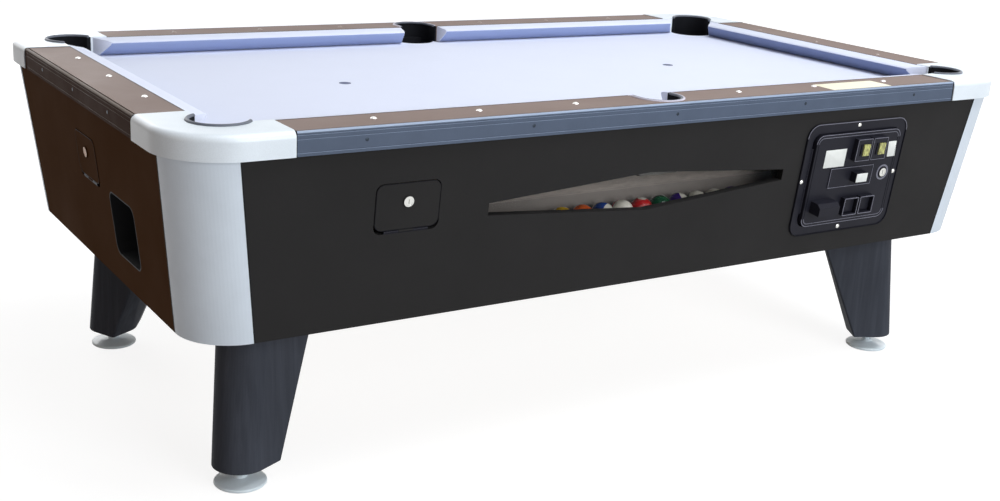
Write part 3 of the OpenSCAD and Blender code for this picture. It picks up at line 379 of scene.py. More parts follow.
@dataclass(frozen=True)
class Finish:
    """A named surface finish, whose material is made on first use.

    Attributes:
        name: Name of the material.
        colour: Main colour.
        rough: Roughness.
    """

    name: str
    colour: Colour
    rough: float = 0.5

    def material(self) -> bpy.types.Material:
        """Make the material on first use.

        Returns:
            The finish's material.
        """
        own_name = f"{self.name}_finish"
        if own_name not in bpy.data.materials:
            self.paint(ShaderGraph(own_name))
        return bpy.data.materials[own_name]

    def paint(self, graph: ShaderGraph) -> None:
        """Fill a graph with this finish's nodes.

        Args:
            graph: Graph of the finish's material.
        """
        raise NotImplementedError

    def shade(self, share: float) -> Colour:
        """Return the main colour at a share of its strength."""
        return (self.colour[0] * share, self.colour[1] * share, self.colour[2] * share, 1.0)

    def tint(
        self,
        graph: ShaderGraph,
        base: object,
        pattern: bpy.types.NodeSocket,
        span: tuple[float, float],
        most: float,
        share: float,
    ) -> bpy.types.NodeSocket:
        """Shade a colour by a pattern.

        Args:
            graph: Graph that the nodes join.
            base: Colour so far, plain or from a node.
            pattern: Pattern from 0 to 1.
            span: Values of the pattern at which the shade starts and is full.
            most: Weight of the shade where it is full.
            share: Colour of the shade, as a share of the main colour.

        Returns:
            The shaded colour.
        """
        return graph.mix(graph.levels(pattern, *span, 0, most), base, self.shade(share))

    def wear(
        self,
        graph: ShaderGraph,
        pattern: bpy.types.NodeSocket,
        span: tuple[float, float],
        less: float,
        more: float,
    ) -> bpy.types.NodeSocket:
        """Vary the roughness by a pattern.

        Args:
            graph: Graph that the nodes join.
            pattern: Pattern from 0 to 1.
            span: Values of the pattern at which the roughness is lowest and highest.
            less: How far the lowest roughness is below the finish's own.
            more: How far the highest is above it.

        Returns:
            The roughness.
        """
        return graph.levels(pattern, *span, self.rough - less, self.rough + more)


@dataclass(frozen=True)
class Laminate(Finish):
    """Printed laminate with a faint fleck, wear marks, a fine pebble and long pale streaks of
    painted sheen.

    Attributes:
        fleck: Share by which the fleck darkens the colour.
        painted_sheen: Weight of the long pale streaks, which are painted sheen.
        along: Factors that stretch the streaks along an axis.
        gloss: Specular level.
    """

    fleck: float = 0.12
    painted_sheen: float = 0.0
    along: Triple = (1, 1, 1)
    gloss: float = 0.4

    def paint(self, graph: ShaderGraph) -> None:
        """Fill a graph with this finish's nodes.

        Args:
            graph: Graph of the finish's material.
        """
        fine = graph.noise(graph.place, scale=900, detail=3)
        cloud = graph.noise(graph.place, scale=5, rough=0.6)
        streaks = graph.noise(graph.mapped(self.along), scale=60, rough=0.6)
        marks = 1 - self.fleck * 1.4
        base = self.tint(graph, self.colour, fine, (0.35, 0.7), most=1, share=1 - self.fleck)
        base = self.tint(graph, base, cloud, (0.3, 0.75), most=0.6, share=marks)
        # Long pale streaks are painted sheen
        base = self.tint(graph, base, streaks, (0.4, 0.7), most=self.painted_sheen, share=1.9)
        wear = self.wear(graph, cloud, (0.25, 0.8), less=0.06, more=0.1)
        graph.look(Base_Color=base, Roughness=wear, Specular_IOR_Level=self.gloss)
        graph.bump(fine, depth=0.05, strength=0.5)


@dataclass(frozen=True)
class Metal(Finish):
    """Metal with fine lines along one axis and faint handling marks.

    Attributes:
        metallic: How metallic the surface is.
        lines: Factors that stretch the lines along an axis.
        depth: Depth of the lines in millimetres.
        gloss: Specular level.
    """

    metallic: float = 1.0
    lines: Triple = (1, 1, 1)
    depth: float = 0.02
    gloss: float = 0.5

    def paint(self, graph: ShaderGraph) -> None:
        """Fill a graph with this finish's nodes.

        Args:
            graph: Graph of the finish's material.
        """
        brushed = graph.noise(graph.mapped(self.lines), scale=420, rough=0.6)
        cloud = graph.noise(graph.place, scale=7, detail=5, rough=0.6)
        base = self.tint(graph, self.colour, cloud, (0.3, 0.8), most=0.7, share=0.86)
        base = self.tint(graph, base, brushed, (0.35, 0.7), most=0.25, share=0.72)
        wear = self.wear(graph, cloud, (0.3, 0.75), less=0.04, more=0.08)
        graph.look(Base_Color=base, Roughness=wear, Metallic=self.metallic)
        graph.look(Specular_IOR_Level=self.gloss)
        graph.bump(brushed, self.depth, strength=0.6)


@dataclass(frozen=True)
class Moulded(Finish):
    """Moulded plastic or rubber with a fine grain.

    Attributes:
        grain: Depth of the grain in millimetres.
        gloss: Specular level.
    """

    grain: float = 0.06
    gloss: float = 0.4

    def paint(self, graph: ShaderGraph) -> None:
        """Fill a graph with this finish's nodes.

        Args:
            graph: Graph of the finish's material.
        """
        pebble = graph.noise(graph.place, scale=1300, detail=2)
        cloud = graph.noise(graph.place, scale=14, rough=0.6)
        base = self.tint(graph, self.colour, cloud, (0.3, 0.75), most=0.8, share=0.8)
        base = self.tint(graph, base, pebble, (0.3, 0.7), most=0.3, share=1.25)
        wear = self.wear(graph, cloud, (0.3, 0.75), less=0.05, more=0.08)
        graph.look(Base_Color=base, Roughness=wear, Specular_IOR_Level=self.gloss)
        graph.bump(pebble, self.grain, strength=0.6)


@dataclass(frozen=True)
class Felt(Finish):
    """Woven and napped billiard cloth.

    Attributes:
        sheen: Weight of the soft sheen.
        stretch: Factor by which a thread's pattern is finer across the thread.
    """

    sheen: float = 0.12
    stretch: float = 9

    def paint(self, graph: ShaderGraph) -> None:
        """Fill a graph with this finish's nodes.

        Args:
            graph: Graph of the finish's material.
        """
        warp = graph.noise(graph.mapped((1, self.stretch, self.stretch)), scale=260, detail=2)
        weft = graph.noise(graph.mapped((self.stretch, 1, self.stretch)), scale=260, detail=2)
        nap = graph.noise(graph.place, scale=700, detail=3, rough=0.6)
        cloud = graph.noise(graph.place, scale=2.2, detail=5, rough=0.6)
        halves = [graph.sums("MULTIPLY", way, 0.5) for way in (warp, weft)]
        threads = graph.sums("ADD", *halves)
        base = self.tint(graph, self.colour, cloud, (0.3, 0.75), most=0.7, share=0.94)
        base = self.tint(graph, base, threads, (0.4, 0.65), most=0.5, share=0.9)
        wear = self.wear(graph, nap, (0.2, 0.8), less=0.06, more=0.04)
        graph.look(Base_Color=base, Roughness=wear, Specular_IOR_Level=0.15)
        graph.look(Sheen_Weight=self.sheen, Sheen_Roughness=0.5)
        weave = graph.sums("ADD", threads, graph.sums("MULTIPLY", nap, 0.6))
        graph.bump(weave, depth=0.12, strength=0.5)


@dataclass(frozen=True)
class Timber(Finish):
    """Sawn board with long grain along the table.

    Attributes:
        grain: Colour of the darker grain.
    """

    grain: Colour = (0.18, 0.1, 0.05, 1.0)

    def paint(self, graph: ShaderGraph) -> None:
        """Fill a graph with this finish's nodes.

        Args:
            graph: Graph of the finish's material.
        """
        rings = graph.noise(graph.mapped((1, 14, 14)), scale=9, detail=6, rough=0.65)
        pores = graph.noise(graph.mapped((1, 20, 20)), scale=90, detail=3)
        base = graph.mix(graph.levels(rings, 0.35, 0.7, 0, 0.5), self.colour, self.grain)
        base = graph.mix(graph.levels(pores, 0.55, 0.7, 0, 0.4), base, self.grain)
        wear = self.wear(graph, rings, (0.3, 0.7), less=0.08, more=0.06)
        graph.look(Base_Color=base, Roughness=wear)
        graph.bump(pores, depth=0.2, strength=0.6)


@dataclass(frozen=True)
class RackBoard(Finish):
    """Sealed board of the ball rack, with a paler upper slope and scuffs.

    Attributes:
        knee: Height in metres at which the upper slope starts.
        soft: Height in metres over which the colour changes there.
        lift: Factor from the lower slope's colour to the upper one's.
    """

    knee: float = 0.590
    soft: float = 0.004
    lift: float = 2.6

    def paint(self, graph: ShaderGraph) -> None:
        """Fill a graph with this finish's nodes.

        Args:
            graph: Graph of the finish's material.
        """
        height = graph.axes(graph.place)[2]
        low, high = self.knee - self.soft / 2, self.knee + self.soft / 2
        scuffs = graph.noise(graph.mapped((1, 4, 4)), scale=24, detail=5, rough=0.6)
        base = graph.mix(graph.levels(height, low, high, 0, 1), self.colour, self.shade(self.lift))
        base = self.tint(graph, base, scuffs, (0.35, 0.75), most=0.35, share=0.6)
        wear = self.wear(graph, scuffs, (0.3, 0.7), less=0.08, more=0.08)
        graph.look(Base_Color=base, Roughness=wear, Specular_IOR_Level=0.15)
        graph.bump(scuffs, depth=0.05, strength=0.4)


@dataclass(frozen=True)
class CapScrew(Metal):
    """Bright screw head that is painted in the rail's colour on the far and right rails.

    Attributes:
        paint_colour: Colour of the painted heads.
        far_y: Place in metres from which the heads are painted, across the table.
        far_x: Place in metres from which they are painted, along the table.
    """

    paint_colour: Colour = (0.2, 0.18, 0.16, 1.0)
    far_y: float = 0.5
    far_x: float = 1.05

    def paint(self, graph: ShaderGraph) -> None:
        """Fill a graph with this finish's nodes.

        Args:
            graph: Graph of the finish's material.
        """
        x, y, _ = graph.axes(graph.place)
        back = graph.sums("GREATER_THAN", y, self.far_y)
        right = graph.sums("GREATER_THAN", x, self.far_x)
        far = graph.sums("MAXIMUM", back, right)
        cloud = graph.noise(graph.place, scale=60, rough=0.6)
        bright = self.tint(graph, self.colour, cloud, (0.3, 0.8), most=0.7, share=0.86)
        base = graph.mix(far, bright, self.paint_colour)
        wear = self.wear(graph, cloud, (0.3, 0.7), less=0, more=0.1)
        graph.look(Base_Color=base, Metallic=graph.levels(far, 0, 1, self.metallic, 0))
        graph.look(Roughness=wear, Specular_IOR_Level=self.gloss)
        graph.bump(cloud, self.depth, strength=0.5)


@dataclass(frozen=True)
class Stone(Finish):
    """Honed slate with cloudy bands."""

    def paint(self, graph: ShaderGraph) -> None:
        """Fill a graph with this finish's nodes.

        Args:
            graph: Graph of the finish's material.
        """
        bands = graph.noise(graph.mapped((1, 2, 12)), scale=6, detail=8, rough=0.65)
        grit = graph.noise(graph.place, scale=600, detail=3)
        base = self.tint(graph, self.colour, bands, (0.3, 0.7), most=1, share=0.65)
        graph.look(Base_Color=base, Roughness=self.wear(graph, grit, (0.3, 0.7), 0.06, 0.08))
        graph.bump(grit, depth=0.15, strength=0.6)


@dataclass(frozen=True)
class ClearPane(Finish):
    """Clear plastic sheet with faint smears.

    Attributes:
        alpha: Share of the surface that shows.
    """

    alpha: float = 0.1

    def paint(self, graph: ShaderGraph) -> None:
        """Fill a graph with this finish's nodes.

        Args:
            graph: Graph of the finish's material.
        """
        smear = graph.noise(graph.mapped((1, 3, 1)), scale=9, detail=5, rough=0.6)
        span = (0.3, 0.8)
        graph.look(Base_Color=graph.mix(smear, self.colour, self.shade(0.8)))
        graph.look(Roughness=self.wear(graph, smear, span, less=0, more=0.08))
        graph.look(Alpha=graph.levels(smear, *span, self.alpha * 0.8, self.alpha * 1.3))


@dataclass(frozen=True)
class BallResin(Finish):
    """Polished ball with a plain or striped body and two white spots.

    Attributes:
        centre: Centre of the ball in metres.
        turn: Turn of the ball about the three axes in degrees.
        stripe: Half the width of the coloured band as a share of the radius, 1 for a full ball.
        spots: Whether the ball has its two white spots.
        ivory: Colour of the spots and of a striped ball's poles.
        spot_edge: Height of a spot's rim as a share of the radius, and where it is full.
        blur: Half the width of a band's soft edge as a share of the radius.
    """

    centre: Triple = (0, 0, 0)
    turn: Triple = (0, 0, 0)
    stripe: float = 1.0
    spots: bool = True
    ivory: Colour = tone(238, 234, 220)
    spot_edge: tuple[float, float] = (0.925, 0.933)
    blur: float = 0.004

    def paint(self, graph: ShaderGraph) -> None:
        """Fill a graph with this finish's nodes.

        Args:
            graph: Graph of the finish's material.
        """
        to_radii = 2 / (BALL_D * MM)
        own = graph.axes(graph.mapped((to_radii,) * 3, self.turn, self.centre))
        scuffs = graph.noise(graph.mapped(centre=self.centre), scale=160, rough=0.6)
        body = graph.mix(scuffs, self.colour, self.shade(0.88))
        if self.stripe < 1:
            height = graph.sums("ABSOLUTE", own[2])
            rim = (self.stripe - self.blur, self.stripe + self.blur)
            body = graph.mix(graph.levels(height, *rim, 1, 0), self.ivory, body)
        if self.spots:
            spot = graph.levels(graph.sums("ABSOLUTE", own[0]), *self.spot_edge, 0, 1)
            body = graph.mix(spot, body, self.ivory)
        wear = self.wear(graph, scuffs, (0.4, 0.8), less=0, more=0.12)
        graph.look(Base_Color=body, Roughness=wear, Specular_IOR_Level=0.5)
        graph.look(Coat_Weight=0.6, Coat_Roughness=0.05)
        graph.bump(scuffs, depth=0.01, strength=0.3)


@dataclass(frozen=True)
class Paper(Finish):
    """Blank label with a satin film."""

    def paint(self, graph: ShaderGraph) -> None:
        """Fill a graph with this finish's nodes.

        Args:
            graph: Graph of the finish's material.
        """
        cloud = graph.noise(graph.place, scale=40, rough=0.6)
        base = self.tint(graph, self.colour, cloud, (0.35, 0.75), most=0.8, share=0.9)
        graph.look(Base_Color=base, Roughness=self.wear(graph, cloud, (0.3, 0.7), 0, 0.15))
        graph.bump(cloud, depth=0.02, strength=0.4)


@dataclass(frozen=True)
class ButtonFace(Finish):
    """Face of a push button in amber plastic with moulded bars.

    Attributes:
        bar: Colour of the bars.
    """

    bar: Colour = tone(118, 112, 66)

    def paint(self, graph: ShaderGraph) -> None:
        """Fill a graph with this finish's nodes.

        Args:
            graph: Graph of the finish's material.
        """
        bars = graph.noise(graph.mapped((6, 6, 1)), scale=70, detail=2)
        base = graph.mix(graph.levels(bars, 0.4, 0.62, 0, 1), self.colour, self.bar)
        graph.look(Base_Color=base, Roughness=self.wear(graph, bars, (0.3, 0.7), 0, 0.2))
        graph.look(Coat_Weight=0.4, Coat_Roughness=0.1)
        graph.bump(bars, depth=0.15, strength=0.6)


CHARCOAL = Laminate("charcoal_laminate", tone(47, 46, 46), 0.5, fleck=0.16, gloss=0.05)
# The brown of the end panels and the end door is painted warm reflection
WARM_LIT_LAMINATE = Laminate("brown_laminate", tone(78, 50, 26), 0.6, fleck=0.16, gloss=0.004)
# Pale vertical streaks on the legs are painted sheen
LEG_BLACK = Laminate(
    "leg_laminate", tone(68, 71, 79), 0.5, painted_sheen=0.3, along=(1, 1, 0.04), gloss=0.02
)
TAUPE = Laminate("rail_laminate", tone(138, 121, 114), 0.5, fleck=0.08, gloss=0.05)
SATIN = Metal(
    "satin_trim", tone(224, 233, 243), 0.45, metallic=0.1, lines=(12, 12, 0.3), gloss=0.15
)
CAP = Metal("cap_metal", tone(238, 246, 253), 0.35, metallic=0.05, depth=0.01, gloss=0.2)
RIB = Moulded("ribbed_trim", tone(84, 95, 114), 0.4, grain=0.03, gloss=0.15)
# Lighter colour on the trims' upward faces is a painted highlight
RIB_TOP_HIGHLIGHT = Moulded("ribbed_trim_top", tone(142, 158, 182), 0.35, grain=0.02, gloss=0.4)
# The end trims are the grey moulding with painted shade and warm reflection, with a painted
# highlight on top
WARM_SHADED_RIB = Moulded("brown_trim", tone(62, 43, 34), 0.5, grain=0.03, gloss=0.01)
WARM_RIB_TOP_HIGHLIGHT = Moulded("brown_trim_top", tone(92, 78, 68), 0.45, grain=0.02, gloss=0.05)
NICKEL = Metal("nickel", tone(214, 214, 210), 0.2, lines=(1, 1, 6), depth=0.01)
ZINC = Metal("zinc", tone(170, 174, 180), 0.38, metallic=0.9, lines=(4, 1, 1))
CAP_SCREW = CapScrew(
    "cap_screw", tone(232, 232, 230), 0.25, depth=0.01, paint_colour=tone(150, 134, 126)
)
FOOT = Metal("foot_metal", tone(236, 248, 255), 0.3, metallic=0.0, lines=(1, 1, 9))
BLACK_STEEL = Moulded("black_steel", tone(33, 33, 41), 0.4, grain=0.05, gloss=0.1)
# Light edge lines on the coin door and its fittings are a painted highlight
EDGE_HIGHLIGHT = Metal("painted_edge_highlight", tone(118, 118, 132), 0.4, metallic=0.1, lines=(3, 3, 1))
EDGE_DARK = Metal("dark_edge", tone(22, 22, 28), 0.5, metallic=0.0, gloss=0.05)
LINER = Moulded("liner_rubber", tone(26, 27, 31), 0.6, grain=0.1, gloss=0.05)
LIP = Moulded("lip_rubber", tone(92, 97, 108), 0.45, grain=0.05, gloss=0.35)
# Pale outer ring of a side pocket is a painted highlight
LIP_HIGHLIGHT = Moulded("painted_lip_highlight", tone(190, 186, 200), 0.4, grain=0.03, gloss=0.35)
STRIP = Moulded("dark_strip", tone(78, 76, 80), 0.5, grain=0.03, gloss=0.2)
# Pale blue of the window sill's front edge is a painted highlight
SILL_HIGHLIGHT = Moulded("sill_painted_highlight", tone(136, 152, 194), 0.4, grain=0.02, gloss=0.2)
INNER_BLACK = Moulded("inner_black", tone(14, 14, 16), 0.6, gloss=0.15)
RUN = Moulded("run_plastic", tone(84, 82, 78), 0.45)
RACK = RackBoard("rack_board", tone(128, 121, 115), 0.6)
MECH = Moulded("mech_plastic", tone(96, 98, 102), 0.4)
BED_FELT = Felt("bed_cloth_felt", tone(229, 234, 252), 0.9)
# Darker felts for the faces under the noses are painted shade, the second one deeper for the right
# cushion
UNDER_NOSE_PAINTED_SHADE = Felt("under_nose_painted_shade", tone(154, 168, 208), 0.9)
RIGHT_FACE_PAINTED_SHADE = Felt("right_face_painted_shade", tone(124, 137, 176), 0.9)
BOARD = Timber("frame_timber", tone(196, 164, 118), 0.6)
SLATE = Stone("slate", tone(92, 97, 100), 0.6)
PANE = ClearPane("window_pane", tone(70, 76, 80), 0.06, alpha=0.04)
CARD = Paper("blank_card", tone(242, 244, 240), 0.45)
CREAM = Paper("cream_label", tone(246, 240, 214), 0.4)
SPOT = Paper("spot_patch", tone(84, 92, 122), 0.7)
AMBER = ButtonFace("amber_button", tone(206, 208, 120), 0.3)
# Warm tint of the end door's lock is painted warm reflection
NICKEL_WARM_REFLECTION = Metal("warm_nickel", tone(196, 164, 138), 0.35, metallic=0.3, gloss=0.2)
SCREW_BLACK = Metal("screw_black", tone(44, 52, 62), 0.35, metallic=0.8)


def open_edges(bm: bmesh.types.BMesh) -> int:
    """Count the edges that don't lie between two faces."""
    return sum(len(edge.link_faces) != 2 for edge in bm.edges)


def settle(bm: bmesh.types.BMesh, matrix: Matrix) -> None:
    """Move a mesh in millimetres to its place, and turn its faces outwards.

    Args:
        bm: Mesh to place.
        matrix: Its place in millimetres.
    """
    bmesh.ops.transform(bm, matrix=matrix, verts=bm.verts)
    bmesh.ops.recalc_face_normals(bm, faces=bm.faces)


def piece(
    name: str,
    bm: bmesh.types.BMesh,
    finishes: Sequence[Finish],
    body: str = TABLE,
    nodes: Iterable[str] = (),
    sharp: float = 35,
) -> bpy.types.Object:
    """Make an object of a placed mesh, scale it to metres and ride it on a body.

    Args:
        name: Name of the piece.
        bm: Its mesh in millimetres, which is freed.
        finishes: Finishes in the order of the mesh's material numbers.
        body: CAD body that it moves with.
        nodes: CAD nodes that it replaces.
        sharp: Angle in degrees above which an edge stays sharp.

    Returns:
        The new object.
    """
    left_open = open_edges(bm)
    bmesh.ops.scale(bm, vec=(MM,) * 3, verts=bm.verts)
    mesh = bpy.data.meshes.new(name)
    bm.to_mesh(mesh)
    bm.free()
    mesh.shade_smooth()
    mesh.set_sharp_from_angle(angle=math.radians(sharp))
    for finish in finishes:
        mesh.materials.append(finish.material())
    obj = bpy.data.objects.new(name, mesh)
    bpy.context.scene.collection.objects.link(obj)
    if nodes:
        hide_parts(*nodes)
    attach(obj, body)
    LOG.info("%s: %d faces, %d open edges, on %s", name, len(mesh.polygons), left_open, body)
    return obj


def join(parts: Sequence[bmesh.types.BMesh]) -> bmesh.types.BMesh:
    """Put several meshes into the first one and free the others.

    Args:
        parts: The meshes.

    Returns:
        The first mesh, which now holds them all.
    """
    whole = parts[0]
    for part in parts[1:]:
        spare = bpy.data.meshes.new("spare")
        part.to_mesh(spare)
        part.free()
        whole.from_mesh(spare)
        bpy.data.meshes.remove(spare)
    return whole


def soften(
    bm: bmesh.types.BMesh, edges: Iterable[bmesh.types.BMEdge], by: float, steps: int = 2
) -> None:
    """Round edges with a bevel.

    Args:
        bm: Mesh of the edges.
        edges: Edges to round.
        by: Width of the bevel in millimetres.
        steps: Number of its segments.
    """
    bmesh.ops.bevel(
        bm, geom=list(edges), offset=by, offset_type="OFFSET", segments=steps, profile=0.5,
        affect="EDGES", material=-1, clamp_overlap=True,
    )


def pull(bm: bmesh.types.BMesh, faces: Sequence[bmesh.types.BMFace], by: Sequence[float]) -> None:
    """Extrude faces as one region, and close the start.

    Args:
        bm: Mesh of the faces.
        faces: Faces to extrude.
        by: Vector that they move along.
    """
    grown = bmesh.ops.extrude_face_region(bm, geom=list(faces), use_keep_orig=True)
    moved = [item for item in grown["geom"] if isinstance(item, bmesh.types.BMVert)]
    bmesh.ops.translate(bm, vec=by, verts=moved)


def outline_face(bm: bmesh.types.BMesh, w: float, h: float, r: float) -> bmesh.types.BMFace:
    """Add a rectangle with round corners, centred in the XY plane.

    Args:
        bm: Mesh that it joins, which is otherwise empty.
        w: Width.
        h: Height.
        r: Radius of the corners.

    Returns:
        The new face.
    """
    bmesh.ops.create_grid(bm, x_segments=1, y_segments=1, size=0.5)
    bmesh.ops.scale(bm, vec=(w, h, 1), verts=bm.verts)
    bmesh.ops.bevel(
        bm, geom=list(bm.verts), offset=r, offset_type="OFFSET", segments=CORNER_STEPS, profile=0.5,
        affect="VERTICES", material=-1,
    )
    return max(bm.faces, key=lambda f: f.calc_area())


def rim_of(bm: bmesh.types.BMesh, face: bmesh.types.BMFace, band: float) -> None:
    """Cut a lone face down to a band along its outline.

    Args:
        bm: Mesh of the face.
        face: The face.
        band: Width of the band.
    """
    bmesh.ops.inset_region(
        bm, faces=[face], thickness=band, use_even_offset=True, use_boundary=True
    )
    bmesh.ops.delete(bm, geom=[face], context="FACES")


def plate(w: float, h: float, r: float, n0: float, n1: float, edge: float) -> bmesh.types.BMesh:
    """Make a plate with round corners and softened upper edges.

    Args:
        w: Width.
        h: Height.
        r: Radius of the corners.
        n0: Depth of its back.
        n1: Depth of its face.
        edge: Width of the softened edge.

    Returns:
        The plate, centred in the XY plane.
    """
    bm = bmesh.new()
    pull(bm, [outline_face(bm, w, h, r)], (0, 0, n1 - n0))
    soften(bm, [e for e in bm.edges if all(v.co.z > (n1 - n0) / 2 for v in e.verts)], edge)
    bmesh.ops.translate(bm, vec=(0, 0, n0), verts=bm.verts)
    return bm


def ring(w: float, h: float, r: float, band: float, n0: float, n1: float) -> bmesh.types.BMesh:
    """Make a flat ring with round corners.

    Args:
        w: Outer width.
        h: Outer height.
        r: Outer radius of the corners.
        band: Width of the ring's band.
        n0: Depth of its back.
        n1: Depth of its face.

    Returns:
        The ring, centred in the XY plane.
    """
    bm = bmesh.new()
    rim_of(bm, outline_face(bm, w, h, r), band)
    pull(bm, list(bm.faces), (0, 0, n1 - n0))
    bmesh.ops.translate(bm, vec=(0, 0, n0), verts=bm.verts)
    return bm


def disc(radius: float, height: float, dome: float, steps: int) -> bmesh.types.BMesh:
    """Make a round plate with a domed top.

    Args:
        radius: Its radius.
        height: Height of its rim.
        dome: Extra height in the middle.
        steps: Number of sides.

    Returns:
        The plate, standing on the XY plane.
    """
    bm = bmesh.new()
    arc = [(radius * math.cos(a), height + dome * math.sin(a)) for a in (0.5, 0.95, 1.3)]
    section = [(0, 0), (radius, 0), (radius, height), *arc, (0, height + dome)]
    verts = [bm.verts.new((x, 0, z)) for x, z in section]
    edges = [bm.edges.new(pair) for pair in zip(verts, verts[1:])]
    bmesh.ops.spin(
        bm, geom=verts + edges, cent=(0, 0, 0), axis=(0, 0, 1), angle=math.tau, steps=steps,
        use_merge=True,
    )
    bmesh.ops.remove_doubles(bm, verts=bm.verts, dist=FINE / 10)
    bmesh.ops.recalc_face_normals(bm, faces=bm.faces)
    return bm


def bar(section: Section, start: float, end: float) -> bmesh.types.BMesh:
    """Extrude a section of inward and upward distances along an edge.

    Args:
        section: Corners of the section, as inward distance and height.
        start: Where the bar starts along the edge.
        end: Where it ends.

    Returns:
        The bar in the edge's frame.
    """
    bm = bmesh.new()
    face = bm.faces.new([bm.verts.new((start, y, z)) for y, z in section])
    pull(bm, [face], (end - start, 0, 0))
    return bm


def on_face(side: Side, x: float, z: float) -> Matrix:
    """Place of a point on a leaning face, by its distance along the edge and its height."""
    return side.face() @ Matrix.Translation((x, up(z), 0))


def dress(nodes: Iterable[str], finish: Finish) -> None:
    """Give CAD nodes a finish through their objects' material slots.

    Args:
        nodes: Names of the nodes.
        finish: Finish that they get.
    """
    for name in nodes:
        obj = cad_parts[name]
        for slot in obj.material_slots:
            slot.link = "OBJECT"
            slot.material = finish.material()
        LOG.info("%s: finish %s", name, finish.name)


@dataclass
class Cabinet:
    """Panels, corner trims, floor and inner timber of the cabinet.

    Attributes:
        reach: Length of a corner trim along each of its two faces.
        joint_w: Width of the dark strip between a panel and a corner trim.
        joint_t: Thickness of that strip.
        joint_off: Distance of its back from the face.
        clear: Distance of a strip's ends from the cabinet's lower edge and from the rail.
    """

    reach: float = 121.0
    joint_w: float = 2.8
    joint_t: float = 0.5
    joint_off: float = 0.05
    clear: float = 2.0

    def build(self) -> None:
        """Dress the cabinet's nodes and lay the dark joint strips."""
        for side in Side:
            self.joints(side)
        dress(["front_panel", "back_panel"], CHARCOAL)
        # End panels take the brown of painted warm reflection
        dress(["left_end_panel", "right_end_panel"], WARM_LIT_LAMINATE)
        dress([f"corner_trim_{name}" for name in CORNER_NAMES], SATIN)
        dress(["cabinet_floor", "corner_posts", "support_cleats", "slate_frame"], BOARD)
        dress(["slate"], SLATE)

    def joints(self, side: Side) -> None:
        """Lay the dark strips that stand in the joints between a panel and its corner trims.

        Args:
            side: Side of the table.
        """
        low, high = up(CABINET_BOTTOM + self.clear), up(BED - Rails.lip - self.clear)
        parts = []
        for way in (-1, 1):
            line = [
                (way * (side.run - INSET_BOTTOM + v * math.sin(LEAN) - self.reach - across), v)
                for across, v in ((0, low), (self.joint_w, low), (self.joint_w, high), (0, high))
            ]
            bm = bmesh.new()
            face = bm.faces.new([bm.verts.new((x, v, self.joint_off)) for x, v in line])
            pull(bm, [face], (0, 0, self.joint_t))
            parts.append(bm)
        bm = join(parts)
        settle(bm, side.face())
        piece(f"trim_joints_{side.name.lower()}", bm, [INNER_BLACK])


@dataclass
class Legs:
    """Wedge legs with their inserts, bolts and levelling feet."""

    def build(self) -> None:
        """Dress the legs' nodes."""
        dress([f"leg_{name}" for name in CORNER_NAMES], LEG_BLACK)
        dress([f"leveler_{name}" for name in CORNER_NAMES], FOOT)
        dress(["leg_inserts", "leg_bolts"], ZINC)


@dataclass
class Bed:
    """Bed cloth stretched over the slate, and its two spots.

    Attributes:
        spot_x: Distance of a spot from the middle.
        spot_r: Radius of a spot.
        spot_t: Thickness of a spot.
        hem: Softening of the cloth's cut edges.
        merge: Distance at which points of the CAD solid's mesh are merged.
        flat: Angle in radians up to which its faces are joined.
    """

    spot_x: float = 513.0
    spot_r: float = 15.0
    spot_t: float = 0.25
    hem: float = 0.4
    merge: float = 0.01
    flat: float = 0.02

    def build(self) -> None:
        """Make the cloth and the spots."""
        cloth = self.cloth()
        for sign, name in ((-1, "foot_spot"), (1, "head_spot")):
            bm = disc(self.spot_r, self.spot_t, self.spot_t, 40)
            settle(bm, Matrix.Translation((sign * self.spot_x, 0, BED)))
            piece(name, bm, [SPOT])
        LOG.info("%s: stretched", cloth.name)

    def cloth(self) -> bpy.types.Object:
        """Returns:
            The cloth.
        """
        bm = bmesh.new()
        bm.from_mesh(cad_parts["bed_cloth"].data)
        bmesh.ops.scale(bm, vec=(1 / MM,) * 3, verts=bm.verts)
        bmesh.ops.remove_doubles(bm, verts=bm.verts, dist=self.merge)
        bmesh.ops.dissolve_limit(bm, angle_limit=self.flat, verts=bm.verts, edges=bm.edges)
        top = [f for f in bm.faces if f.normal.z > 0.9]
        area = sum(f.calc_area() for f in top) * MM * MM
        inner = (e for f in top for e in f.edges if len(e.link_faces) == 2)
        soften(bm, {e for e in inner if e.calc_face_angle() > 1}, self.hem)
        bmesh.ops.triangulate(bm, faces=bm.faces)
        obj = piece("cloth_sheet", bm, [BED_FELT], nodes=["bed_cloth"], sharp=0)
        return obj


